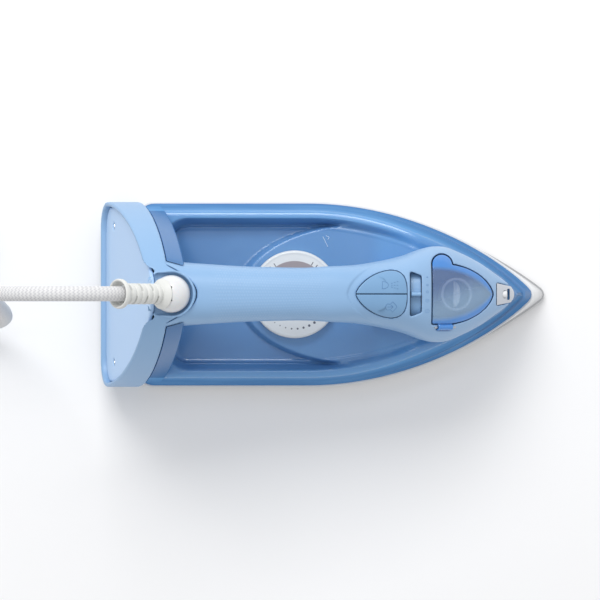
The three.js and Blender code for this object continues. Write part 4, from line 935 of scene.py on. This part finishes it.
def soften(shell, voxel, passes=3):
    """The same body with an even mesh, voxel millimetres fine, and its edges slightly rounded as moulding
    leaves them."""
    blank = build("blank", shell, None)
    remesh = blank.modifiers.new("even", "REMESH")
    remesh.mode, remesh.voxel_size, remesh.adaptivity = "VOXEL", voxel * MM, 0
    result = bmesh.new()
    result.from_mesh(blank.evaluated_get(bpy.context.evaluated_depsgraph_get()).to_mesh())
    bpy.data.meshes.remove(blank.data)
    for _ in range(passes):
        bmesh.ops.smooth_vert(result, verts=result.verts, factor=0.5, use_axis_x=True, use_axis_y=True,
                              use_axis_z=True)
    return result


def seam_prism(lift, above):
    """Everything above, or below, the handle's seam line moved up by lift."""
    line = [(x, handle_seam(x) + lift) for x in np.linspace(-130, 130, 70)]
    ends = [(130, 230), (-130, 230)] if above else [(130, 20), (-130, 20)]
    return prism([*line, *ends], -45, 45, across=True)


def parting(shift, forward):
    """Everything in front of, or behind, the tongue-shaped parting line of the grip."""
    line = [(-78.5 - 0.06 * y * y + shift, y) for y in np.linspace(-34, 34, 40)]
    ends = [(160, 34), (160, -34)] if forward else [(-220, 34), (-220, -34)]
    return prism([*line, *ends], 60, 200)


def cover_height(x, y):
    """Height of the handle's and cover's outer surface at a point in plan."""
    share = (1 - min(1.0, abs(y) / handle_half(x)) ** 2.5) ** 0.4
    return handle_seam(x) + (handle_top(x) - handle_seam(x)) * share


def grip_blue():
    """Matt light blue plastic. Rows of small round dots, set half a pitch apart, fade out at both ends of the
    grip; their paler tint is a painted sheen. Painted light makes the cover in front lighter than the grip."""
    paint = Paint("grip_blue")
    x, y, z = paint.axes()
    grip_middle, grip_radius, pitch, rows = 108.0, 23.0, 1.7, 1.47
    around = paint.curve("ARCTAN2", y, z - grip_middle) * grip_radius
    row = paint.curve("FLOOR", around / rows)
    along = (x + row * (pitch / 2)) % pitch - pitch / 2
    aside = around % rows - rows / 2
    from_dot = (along * along + aside * aside) ** 0.5
    field = paint.ease(x, -72, -64) * (1 - paint.ease(x, -8, 10))
    field = field * paint.ease(z, 112, 118)
    dot = (1 - paint.ease(from_dot, 0.3, 0.62)) * field
    speck, drift = paint.cloud(0.35, 2), paint.cloud(42, 3)
    colour = paint.mix(drift, tint(131, 169, 208), tint(139, 176, 214))
    # Painted light: the cover in front is painted lighter than the grip.
    front = paint.ease(x, 25, 110)
    colour = paint.mix(0.75 * front, colour, tint(150, 182, 217))
    # The dots are raised; their paler tint is a painted sheen.
    colour = paint.mix(0.22 * dot, colour, tint(160, 190, 222))
    return paint.finish(
        Base_Color=colour, Roughness=0.46 + 0.16 * (speck - 0.5) - 0.1 * dot, Coat_Weight=0.12,
        Normal=paint.bump(dot, 0.1, 0.7, paint.bump(speck, 0.02)), Coat_Roughness=0.25,
    )


matt_blue = grip_blue()


def hollow(x):
    """Underside of the room inside the two shells: open below the cover, closed in the grip."""
    return belly(x) + wall if x < 30 else handle_seam(x) - 4


def heel_side(shift, span=230.0):
    """Everything behind the heel housing's leaning front, moved forward by shift."""
    return prism([(heel_front(0) + shift, 0), (heel_front(0) - 60, 0), (heel_front(0) - 60, span),
                  (heel_front(span) + shift, span)], -80, 80, across=True)


tab_x, tab_y, tab_radius = 74.4, 18.4, 7.4
cover_cuts = [prism(leaf(), 80, 200), prism(slot_outline(), 95, 200), prism(door_outline(), 60, 200),
              prism(nozzle_outline(), 40, 90),
              turned((tab_x, tab_y, 60), (tab_x, tab_y, 200), [(0, tab_radius), (1, tab_radius)], 96)]
hinge_ends = [Vector((x, -20.9, z)) for x, z in ((71, 101.01), (81, 93.24))]
hinge_along = (hinge_ends[1] - hinge_ends[0]).normalized()
knuckle_room = turned(hinge_ends[0] - hinge_along * 0.3, hinge_ends[1] + hinge_along * 0.3,
                      [(0, 2.4), (1, 2.4)], 24)
top_shell = carve(handle_body(-104, handle_front, 0, 150, 112),
                  [handle_body(-106, handle_front - 4, wall, 90, 64, hollow), seam_prism(0.15, False),
                   parting(0.15, False), *cover_cuts, knuckle_room])
top_shell = soften(top_shell, 0.62, 4)
rim_of_leaf = np.array(leaf())
# A shallow dip, 0.8 mm deep, runs round the buttons and fades out towards the slot.
for vertex in top_shell.verts:
    x, y, z = vertex.co / MM
    if 5 < x < 52 and z > cover_height(x, y) - 1.2:
        gap = float(np.hypot(*(rim_of_leaf - (x, y)).T).min())
        vertex.co.z -= 0.8 * MM * ease(gap, 5.8, 4.4) * ease(x, 46, 32)
handle_top_piece = build("handle_top_shell", top_shell, matt_blue, "iron", 180)
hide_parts("handle_top")
lower_shell = carve(handle_body(-112, belly_end, 0, 110, 112),
                    [handle_body(-113, 50, wall, 80, 64, hollow), seam_prism(-0.15, True), heel_side(0.35),
                     slab((belly_end, -60, 0), (60, 60, 200))])
handle_low_piece = build("handle_lower_shell", soften(lower_shell, 0.7, 4), matt_blue, "iron", 180)
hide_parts("handle_bottom")

# ---------------------------------------------------------------- heel housing and back cover
# The heel is an arched band of the same matt plastic that the iron stands on when it rests upright, with a
# tongue that runs into the grip and a round socket for the cord's ball. A paler flat cover is screwed into
# its back.
ball_x, ball_z, ball_radius, socket_radius, recess_radius = -94.0, 143.0, 11.5, 13.0, 15.7
cover_recess, cover_thick, band_wall, seat_foot, seat_top = 3.2, 2.5, 3.0, 125, 190
recess_half, collar_radius, cover_fit, plate_room = 12.9, 14.1, 0.5, 12.4


def upright(x, y, radius, low, high, sides=72):
    """An upright round bar."""
    return turned((x, y, low), (x, y, high), [(0, radius), (1, radius)], sides)


def behind_cover():
    """The room inside the heel in front of the back cover."""
    return through([arch(heel_rear, 0, cover_recess + cover_thick + 0.3), arch(steady(-60.0))], 120)


band = through([arch(heel_rear), arch(heel_front)], 220)
tongue = carve(handle_body(-130, -70, 0, 60, 112), [seam_prism(0.15, False), parting(-0.15, True)])
tongue = carve(tongue, [through([arch(heel_rear), arch(steady(-70.0))], 120)], "INTERSECT")
room = carve(through([arch(heel_rear, band_wall, -1), arch(heel_front, band_wall, 2)], 160),
             [handle_body(-131, -69, wall, 40, 64)], "UNION")
socket_cup = carve(upright(ball_x, 0, ball_radius + 4, ball_z - ball_radius - 2.5, ball_z + 2),
                   [behind_cover()], "INTERSECT")
recess_cup = carve(upright(ball_x, 0, recess_radius + 2.2, ball_z - 8.5, ball_z + 4), [behind_cover()],
                   "INTERSECT")
room = carve(room, [socket_cup, recess_cup])
rear_recess = carve(upright(ball_x, 0, recess_radius, ball_z - 5, 200),
                    [slab((ball_x - 30, -recess_half, 0), (ball_x - 2, recess_half, seat_top))], "INTERSECT")
collar_line = [(ball_x + collar_radius * cos(a), collar_radius * sin(a)) for a in np.linspace(-2.1, 2.1, 60)]
collar = hose([(x, y, 145.6 + 0.012 * (x - ball_x) - 0.012 * y * y) for x, y in collar_line], 0.9, 12)
heel = soften([carve(carve(band, [tongue], "UNION"), [room]), collar], 0.72, 2)
seat = [(0, 4.5)]
for height in (132, 133, 134.5, 136, 138, 140):
    share = (height - seat_foot) / (seat_top - seat_foot)
    seat.append((share, sqrt((ball_radius + 0.4) ** 2 - (ball_z - height) ** 2)))
seat += [(0.2315, socket_radius), (1, socket_radius)]
heel = carve(heel, [rear_recess])
heel = carve(heel, [turned((ball_x, 0, seat_foot), (ball_x, 0, seat_top), seat, 72)])
heel_piece = build("heel_housing", soften(heel, 0.66, 3), matt_blue, "iron", 180)
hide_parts("rear_housing")

plate = through([arch(heel_rear, band_wall + cover_fit, cover_recess),
                 arch(heel_rear, band_wall + cover_fit, cover_recess + cover_thick)], 220)
screw_z, screw_y = 40.0, 45.0
screw_x = heel_rear(screw_z) + cover_recess
screw_holes = [turned((screw_x - 3, side * screw_y, screw_z), (screw_x + 8, side * screw_y, screw_z),
                      [(0, 2.6), (1, 2.6)], 32) for side in (1, -1)]
ball_room = turned((ball_x, 0, ball_z - plate_room), (ball_x, 0, ball_z + plate_room),
                   [(0.5 - 0.5 * cos(a), max(plate_room * sin(a), 0.01)) for a in np.linspace(0, pi, 40)], 72)
plate = carve(plate, [*screw_holes, ball_room])
pale_blue = moulded("pale_blue", tint(170, 203, 240), 0.42, 0.02, 0.45, 0.02, 0.1)
plate_piece = build("back_plate", soften(plate, 0.7, 3), pale_blue, "iron", 180)
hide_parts("back_cover")

# ---------------------------------------------------------------- spray and steam boost buttons
# Two matt caps that share the leaf-shaped opening, split along the middle. Each is one moulding, 2 mm thick,
# on a round boss. Its sign is drawn in fine lines: a spray on one cap and a burst of steam on the other.
button_lift, button_thick, middle_gap = 0.4, 2.0, 0.3


def cover_skin(start, end, lift, thick):
    """The cover's skin between two stations, standing lift proud of it and thick deep."""
    return carve(handle_body(start, end, -lift, 60, 112),
                 [handle_body(start - 1, end + 1, thick - lift, 60, 96)])


def button_blue():
    """The handle's plastic in a deeper blue, without the dots."""
    paint = Paint("button_blue")
    speck, drift = paint.cloud(0.4, 2), paint.cloud(18, 2)
    colour = paint.mix(drift, tint(114, 155, 195), tint(122, 163, 202))
    return paint.finish(Base_Color=colour, Roughness=0.4 + 0.16 * (speck - 0.5),
                        Normal=paint.bump(speck, 0.02), Coat_Weight=0.15, Coat_Roughness=0.2)


def fine_line(points, radius=0.16, lift=0.4, height=cover_height):
    """A fine line in or on the surface at height, straight from point to point in plan."""
    spots = np.array(points, float)
    run = np.concatenate([[0], np.cumsum(np.hypot(*np.diff(spots, axis=0).T))])
    even = np.linspace(0, run[-1], max(2, round(run[-1] / 0.4)) + 1)
    line = [(x, y, height(x, y) + lift) for x, y in zip(np.interp(even, run, spots[:, 0]),
                                                       np.interp(even, run, spots[:, 1]))]
    return hose(line, radius, 6)


spray_sign = [[(35.5, 3.2), (35.5, 7.8), (37.2, 7.6), (38.8, 6.9), (39.4, 5.5), (38.8, 4.1), (37.2, 3.4),
               (35.5, 3.2)]]
spray_sign += [[(41 + 1.8 * k, 5.5 + s * (1.1 + 0.5 * k)), (41.9 + 1.8 * k, 5.5 + s * (1.35 + 0.5 * k))]
               for k in range(3) for s in (-1, 0, 1)]
boost_sign = [[(37.2, -8.2), (38.6, -10), (40.6, -9.6), (42, -11.2), (43.6, -9.4), (44.8, -8), (43.6, -6.4),
               (42, -4.8), (40.6, -6.4), (38.6, -6), (37.2, -8.2)],
              [(38.8, -8), (42.2, -8)], [(41, -9.1), (42.4, -8), (41, -6.9)]]
cap_blue = button_blue()
sign_blue = moulded("sign_blue", tint(84, 126, 172), 0.5, 0.01, 0.4)
for name, side, sign in (("spray", 1, spray_sign), ("boost", -1, boost_sign)):
    near, far = sorted((side * middle_gap, side * 40))
    cap = carve(cover_skin(10, 66, button_lift, button_thick), [prism(leaf(0.3), 100, 170)], "INTERSECT")
    cap = carve(cap, [slab((0, near, 90), (60, far, 160))], "INTERSECT")
    boss = upright(34, side * 6.5, 4.2, 104, 123.5, 32)
    cap_piece = build(f"{name}_cap", [soften(cap, 0.34, 3), boss], cap_blue, f"{name}_key", 180)
    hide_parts(f"{name}_button")
    signs = build(f"{name}_sign", [fine_line(line) for line in sign], sign_blue, f"{name}_key", 180)

# ---------------------------------------------------------------- steam slider
# A matt blue drum segment that turns under the slot in the cover, with a thin ridge for the finger. It is
# moulded in one with its spoke and hub, and sits on a steel pin in a bracket on the tank's neck.
slider_x, slider_wide, slider_radius, slider_spread, pivot_z = 57.0, 6.6, 25.5, radians(39), 86.364
ridge_half, spoke_top = 1.5, pivot_z + 24.5


def lengthways(outline, start, end):
    """An outline in y and z carried along x."""
    made = prism(outline, start, end)
    turn = Matrix(((0, 0, 1, 0), (1, 0, 0, 0), (0, 1, 0, 0), (0, 0, 0, 1)))
    bmesh.ops.transform(made, matrix=turn, verts=made.verts)
    return made


def sector(outer, inner, spread, steps=40):
    """A ring segment about the slider's axis, spread each way from upright."""
    turns = np.linspace(-spread, spread, steps)
    return ([(outer * sin(t), pivot_z + outer * cos(t)) for t in turns]
            + [(inner * sin(t), pivot_z + inner * cos(t)) for t in turns[::-1]])


slider_from, slider_to = slider_x - slider_wide / 2, slider_x + slider_wide / 2
ridge_top = pivot_z + slider_radius + 5.4
ridge = [(-ridge_half, spoke_top), (-1.15, ridge_top - 0.5), (-0.7, ridge_top), (0.7, ridge_top),
         (1.15, ridge_top - 0.5), (ridge_half, spoke_top)]
spoke = [(-ridge_half, pivot_z), (ridge_half, pivot_z), (ridge_half, spoke_top), (-ridge_half, spoke_top)]
slider_shells = [
    lengthways(sector(slider_radius, slider_radius - 2.4, slider_spread), slider_from, slider_to),
    lengthways(spoke, slider_from, slider_to),
    lengthways(ridge, slider_from + 0.2, slider_to - 0.2),
    turned((slider_from, 0, pivot_z), (slider_to, 0, pivot_z), [(0, 3.4), (1, 3.4)], 48),
]
slider = carve(soften(slider_shells, 0.34, 2),
               [turned((slider_from - 1, 0, pivot_z), (slider_to + 1, 0, pivot_z), [(0, 1.8), (1, 1.8)], 32)])
slider_blue = moulded("slider_blue", tint(128, 168, 208), 0.42, 0.02, 0.4, 0.03, 0.1)
slider_piece = build("steam_slide", slider, slider_blue, "slider", 40)
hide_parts("steam_slider")

# ---------------------------------------------------------------- fill door
# A clear blue lid that follows the cover's surface, polished on both sides, so that the filler shows through
# it. Five knuckles along its -Y edge turn on a steel pin, and a round finger tab on the other edge opens it.
door_gap, knuckle_count, knuckle_radius, hinge_bore = 0.75, 5, 2.0, 1.1


def door_clear():
    """See-through blue plastic, clearer in the middle and faintly wavy, with a painted highlight of bright
    blue along its rim and painted shade towards its +Y edge.
    """
    paint = Paint("door_clear")
    x, y, _ = paint.axes()
    swirl = paint.cloud(16, 2)
    share = (x - door_rear) / door_long
    edge = door_half * (1 - paint.curve("MINIMUM", share ** 2.3, 0.999)) ** 0.72
    inside = edge - paint.curve("ABSOLUTE", y)
    # Painted highlight: a band of bright blue along the lid's rim.
    rim = 1 - paint.ease(inside, 1.0, 5.2)
    shaded = paint.ease(y - 0.35 * (x - 84), -7, 12)
    inner = paint.mix(shaded, tint(166, 200, 233), tint(118, 146, 194))
    colour = paint.mix(rim, inner, tint(70, 138, 214))
    clear = 0.4 + 0.52 * rim + 0.06 * swirl
    return paint.finish(Base_Color=colour, Roughness=0.08 + 0.06 * swirl, Alpha=clear, Coat_Weight=0.6,
                        Coat_Roughness=0.04, Normal=paint.bump(swirl, 0.2, 0.3))


door_skin = carve(handle_body(62, 116, 0.2, 90, 128), [handle_body(61, 117, wall, 80, 96, hollow)])
tab = turned((tab_x, tab_y, 60), (tab_x, tab_y, 200),
             [(0, tab_radius - door_gap), (1, tab_radius - door_gap)], 96)
tab = carve(tab, [slab((door_rear + door_gap, -30, 50), (100, 40, 210))], "INTERSECT")
lid_shape = carve(prism(door_outline(door_gap), 60, 200), [tab], "UNION")
door_skin = carve(door_skin, [lid_shape, seam_prism(2.5, True)], "INTERSECT")
hinge_start, hinge_end = hinge_ends[0] + hinge_along * 0.3, hinge_ends[1] - hinge_along * 0.3
knuckles = []
for number in range(knuckle_count):
    knuckle_from = hinge_start.lerp(hinge_end, number / knuckle_count + 0.012)
    knuckle_to = hinge_start.lerp(hinge_end, (number + 1) / knuckle_count - 0.012)
    knuckle = [(0, 1.7), (0.06, knuckle_radius), (0.94, knuckle_radius), (1, 1.7)]
    knuckles.append(turned(knuckle_from, knuckle_to, knuckle, 24))
web_ring = [(0, 0.7), (0, -0.7), (2.6, -0.3), (2.6, 1.2)]


def web_place(u, v):
    """Round the web that joins the knuckles to the lid."""
    aside, lift = web_ring[round(u * 4) % 4]
    return hinge_start.lerp(hinge_end, v) + Vector((0, aside, lift))


web = closed(skin(4, 1, web_place))
bore_reach = hinge_along * 1.2
pin_bore = turned(hinge_ends[0] - bore_reach, hinge_ends[1] + bore_reach,
                  [(0, hinge_bore), (1, hinge_bore)], 24)
hinge = carve(soften([*knuckles, web], 0.3, 1), [pin_bore])
door_piece = build("fill_lid", [soften(door_skin, 0.42, 3), hinge], door_clear(), "door", 40)
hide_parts("fill_door")

# ---------------------------------------------------------------- filler funnel and its flap
# A pale tube under the lid that leads water down into the tank. A white half-moon flap closes the front of
# its mouth and springs back when the jug is taken away.
funnel_x, funnel_radius, funnel_wall, funnel_foot = 84.0, 10.5, 1.5, 62.0
funnel = carve(upright(funnel_x, 0, funnel_radius, funnel_foot, 130, 96),
               [upright(funnel_x, 0, funnel_radius - funnel_wall, funnel_foot - 1, 140, 96)])
funnel = carve(funnel, [handle_body(62, 116, wall + 1, 60, 96, steady(40.0))], "INTERSECT")
funnel_grey = moulded("funnel_grey", tint(196, 208, 224), 0.34, 0.02, 0.5, 0.03, 0.2)
funnel_piece = build("filler_tube", funnel, funnel_grey, "iron", 40)
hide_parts("filler_funnel")
flap_outline = [(82.3, -8.5), (84.4, -7.6), (86, -4.8), (86.8, 0), (86, 4.8), (84.4, 7.6), (82.3, 8.5)]
flap = prism(flap_outline, 87.2, 88.6)
bmesh.ops.bevel(flap, geom=flap.edges[:], offset=0.3 * MM, affect="EDGES", segments=2, profile=0.5,
                material=-1)
flap_white = moulded("flap_white", tint(238, 241, 246), 0.3, 0.01, 0.4)
flap_piece = build("filler_flap", flap, flap_white, "iron", 40)

# ---------------------------------------------------------------- spray nozzle and its insert
# A glossy pale grey insert fills the nose of the cover. The spray nozzle, a small white jet, looks out of a
# slot in it just above the tank.
spray_x, spray_angle, spray_radius = 116.0, 0.15, 2.2
spray_z = handle_top(spray_x) - 2.6
spray_axis = Vector((cos(spray_angle), 0, sin(spray_angle)))
spray_middle = Vector((spray_x, 0, spray_z))
nose = carve(handle_body(105, handle_front, 0, 60, 96),
             [prism(nozzle_outline(0.3), 0, 200)], "INTERSECT")
spray_room = [(0, spray_radius + 0.3), (1, spray_radius + 0.3)]
nose = carve(nose, [handle_body(104, handle_front - 3, 4.2, 40, 64, steady(40.0)),
                    turned(spray_middle - 11 * spray_axis, spray_middle + 12 * spray_axis, spray_room, 40)])
spray_slot = slab((119.4, -3.6, 40), (121.2, 3.6, 80))
nose = carve(nose, [spray_slot])
nose_grey = moulded("nose_grey", tint(196, 201, 209), 0.2, 0.008, 0.4, 0.03, 0.5)
nose_piece = build("nozzle_nose", soften(nose, 0.26, 2), nose_grey, "iron", 60)
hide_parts("nozzle_insert")
jet_stations = [(0, 1.9), (0.05, spray_radius), (0.9, spray_radius), (0.97, 1.95), (1, 1.5), (0.99, 0.75),
                (0.86, 0.7)]
jet = turned(spray_middle - 5 * spray_axis, spray_middle + 3.2 * spray_axis, jet_stations, 40)
jet_piece = build("spray_jet", jet, moulded("jet_white", tint(224, 226, 228), 0.3, 0.01, 0.3), "iron", 30)
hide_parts("spray_nozzle")

# ---------------------------------------------------------------- cord ball and cord guard
# A smooth white nylon ball snaps into the heel's socket, slotted behind so that the guard can tip on a steel
# pin. The guard is soft white rubber with ribs joined on alternate sides, and flares to a ring round the
# cord.
guard_turn, neck_radius, guard_long, tip_down, tip_up = radians(45), 4.2, 43.0, radians(10), radians(25)
ball_centre = Vector((ball_x, 0, ball_z))
neck_half = neck_radius + 0.3


def guard_way(turn, out, aside=0.0):
    """A point in x and z, out along the guard's direction at a turn and aside from it."""
    return (ball_x - out * cos(turn) - aside * sin(turn), ball_z + out * sin(turn) - aside * cos(turn))


sweep = [guard_way(guard_turn - tip_down, 0, neck_half), guard_way(guard_turn - tip_down, 17, neck_half)]
sweep += [guard_way(turn, 19) for turn in np.linspace(guard_turn - tip_down, guard_turn + tip_up, 6)]
sweep += [guard_way(guard_turn + tip_up, 17, -neck_half), guard_way(guard_turn + tip_up, 0, -neck_half)]
ball = bmesh.new()
bmesh.ops.create_icosphere(ball, subdivisions=6, radius=ball_radius * MM,
                           matrix=Matrix.Translation(ball_centre * MM))
ball = carve(ball, [prism(sweep, -neck_half, neck_half, across=True),
                    turned((ball_x, -neck_half, ball_z), (ball_x, neck_half, ball_z),
                           [(0, neck_half), (1, neck_half)], 48)])
nylon_white = moulded("nylon_white", tint(219, 220, 222), 0.3, 0.006, 0.4, 0.015, 0.3, 0.1)
ball_piece = build("swivel_ball", soften(ball, 0.3, 2), nylon_white, "swivel", 180)
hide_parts("cord_ball")

# The guard is made upright at the origin, and guard_frame lays it along its direction from the ball.
guard_frame = Matrix.Translation(ball_centre * MM) @ Matrix((
    (sin(guard_turn), 0, -cos(guard_turn), 0), (0, 1, 0, 0), (cos(guard_turn), 0, sin(guard_turn), 0),
    (0, 0, 0, 1)))
rib_start, rib_pitch, rib_count, rib_slot, mouth_radius, pin_room = 12.0, 4.25, 6, 1.6, 9.0, 1.8
mouth_start = rib_start + rib_pitch * rib_count
sleeve_stations = [(0.2, 3.4), (0.21, 4.1), (rib_start - 1.6, 4.15), (rib_start - 0.6, 5.0), (rib_start, 5.9),
                   (rib_start + 0.4, 6.3), (mouth_start - 0.8, 6.4), (mouth_start + 0.4, 6.6),
                   (mouth_start + 1.6, 7.9), (mouth_start + 2.4, 8.8), (mouth_start + 2.9, mouth_radius),
                   (guard_long - 0.8, mouth_radius), (guard_long - 0.2, 8.8),
                   (guard_long, 8.3), (guard_long - 0.2, 7.7), (guard_long - 1.2, 7.3), (guard_long - 4, 6.6),
                   (guard_long - 5, 5.4), (guard_long - 6, 4.9), (guard_long - 6.5, 4.9)]
sleeve = turned((0, 0, 0), (0, 0, guard_long), [(at / guard_long, size) for at, size in sleeve_stations], 72)
slots = []
for rib in range(rib_count):
    at, side = rib_start + rib_pitch * (rib + 0.6), 1 if rib % 2 else -1
    low, high = sorted((side * 1.4, side * mouth_radius))
    for ends, depth in (((low, high), 3.9), ((-mouth_radius, mouth_radius), 5.5)):
        core = turned((0, 0, at - 1), (0, 0, at + 3), [(0, depth), (1, depth)], 48)
        groove = slab((-mouth_radius, ends[0], at), (mouth_radius, ends[1], at + rib_slot))
        slots.append(carve(groove, [core]))
# A thin dome slides over the ball and hides its slot.
dome_turns = np.linspace(0.02, radians(51), 18)
dome_line = [(11.75 * cos(a), 11.75 * sin(a)) for a in dome_turns]
dome_line += [(12.3 * cos(a), 12.3 * sin(a)) for a in dome_turns[::-1]]
dome = hose_rings([Vector((0, 0, at)) for at, _ in dome_line], [size for _, size in dome_line],
                  Vector((0, 0, 1)), 72)
core = turned((0, 0, 1), (0, 0, guard_long - 11.5), [(0, 3.6), (1, 3.9)], 48)
eye = turned((0, -neck_radius, 0), (0, neck_radius, 0),
             [(0, 4.0), (0.06, neck_radius), (0.94, neck_radius), (1, 4.0)], 48)
guard = soften([carve(soften(sleeve, 0.3, 1), slots), dome, core, eye], 0.3, 2)
guard = carve(guard, [turned((0, -6, 0), (0, 6, 0), [(0, pin_room), (1, pin_room)], 32)])
bmesh.ops.transform(guard, matrix=guard_frame, verts=guard.verts)
guard_white = moulded("guard_rubber_white", tint(214, 215, 212), 0.5, 0.03, 0.6, 0.02)
guard_piece = build("cord_sleeve", guard, guard_white, "guard", 60)
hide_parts("cord_guard")

# ---------------------------------------------------------------- printed marks
# Small signs are pad-printed beside the slot for the strength of the steam, and a fill line on the tank's
# shoulder.
sign_x = 64.2
steam_signs = []
for at, size in ((10.6, 0.5), (5.7, 0.75), (1.4, 0.95), (-4.1, 1.2), (-10.6, 1.45)):
    ring = [(sign_x + size * cos(a), at + 0.8 * size * sin(a)) for a in np.linspace(0, 2 * pi, 13)]
    steam_signs.append(fine_line(ring, 0.1, 0.0))
    steam_signs.append(fine_line([(sign_x - 0.5 * size, at), (sign_x + 0.5 * size, at)], 0.1, 0.0))
print_blue = moulded("print_blue", tint(112, 152, 196), 0.5, 0.01, 0.4)
signs_piece = build("steam_signs", steam_signs, print_blue, "iron", 180)


def tank_shoulder(x, y):
    """Height of the tank's top at a point in plan."""
    return tank_height(x, y, bent_flank(tank_plan(roof(x)), x))


mark_lines = [[(-0.6, 37.6), (2.6, 31)], [(1.4, 38.2), (3.6, 37.2), (2.6, 35.6)]]
marks = [fine_line(line, 0.16, 0.05, tank_shoulder) for line in mark_lines]
mark_white = moulded("mark_white", tint(208, 226, 243), 0.4, 0.01, 0.4)
mark_piece = build("fill_mark", marks, mark_white, "iron", 180)

# ---------------------------------------------------------------- inside pieces
# What sits under the covers keeps its shape from the part: turned and pressed metal, plain mouldings and the
# wiring. Each gets the finish of its stock.


def wire_sleeve(name, colour):
    """PVC sleeving, slightly glossy and faintly mottled."""
    paint = Paint(name)
    speck = paint.cloud(1.1, 3, 0.6)
    dark = tuple(0.86 * c for c in colour[:3]) + (1,)
    return paint.finish(Base_Color=paint.mix(speck, dark, colour), Roughness=0.34 + 0.14 * speck,
                        Normal=paint.bump(speck, 0.03))


steel_bright = brushed("steel_bright", tint(196, 198, 201), 0.26, 0.7)
steel_dull = brushed("steel_dull", tint(150, 148, 146), 0.42, 1.6, metal=0.9)
brass_bright = brushed("brass_bright", tint(198, 168, 92), 0.26, 0.8)
inside_grey = moulded("inside_grey", tint(190, 196, 204), 0.45, 0.03, 0.6)
inside_dark = moulded("inside_dark", tint(58, 61, 66), 0.5, 0.04, 0.6)
inside_white = moulded("inside_white", tint(230, 230, 228), 0.4, 0.02, 0.6)
soft_rubber = moulded("soft_rubber", tint(150, 156, 164), 0.7, 0.06, 0.9)
finishes = {
    steel_bright: ["sole_screw_1", "sole_screw_2", "sole_screw_3", "back_cover_screw_1", "back_cover_screw_2",
                   "spray_spring", "boost_spring", "slider_pivot_pin", "door_pin", "guard_pin"],
    steel_dull: ["heating_element", "steam_chamber_lid", "thermostat"],
    brass_bright: ["thermostat_shaft", "valve_rod"],
    inside_grey: ["spray_pump", "boost_pump", "slider_bracket", "terminal_block"],
    inside_dark: ["spray_piston", "boost_piston", "cord_clamp"],
    inside_white: ["thermal_fuse"],
    soft_rubber: ["valve_seat", "spray_hose"],
    wire_sleeve("lead_sleeve", tint(214, 214, 216)): ["supply_lead"],
    wire_sleeve("live_sleeve", tint(150, 84, 48)): ["live_wire"],
    wire_sleeve("neutral_sleeve", tint(48, 92, 160)): ["neutral_wire"],
    wire_sleeve("earth_sleeve", tint(132, 158, 52)): ["earth_wire"],
}
for material, names in finishes.items():
    for name in names:
        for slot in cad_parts[name].material_slots:
            slot.material = material
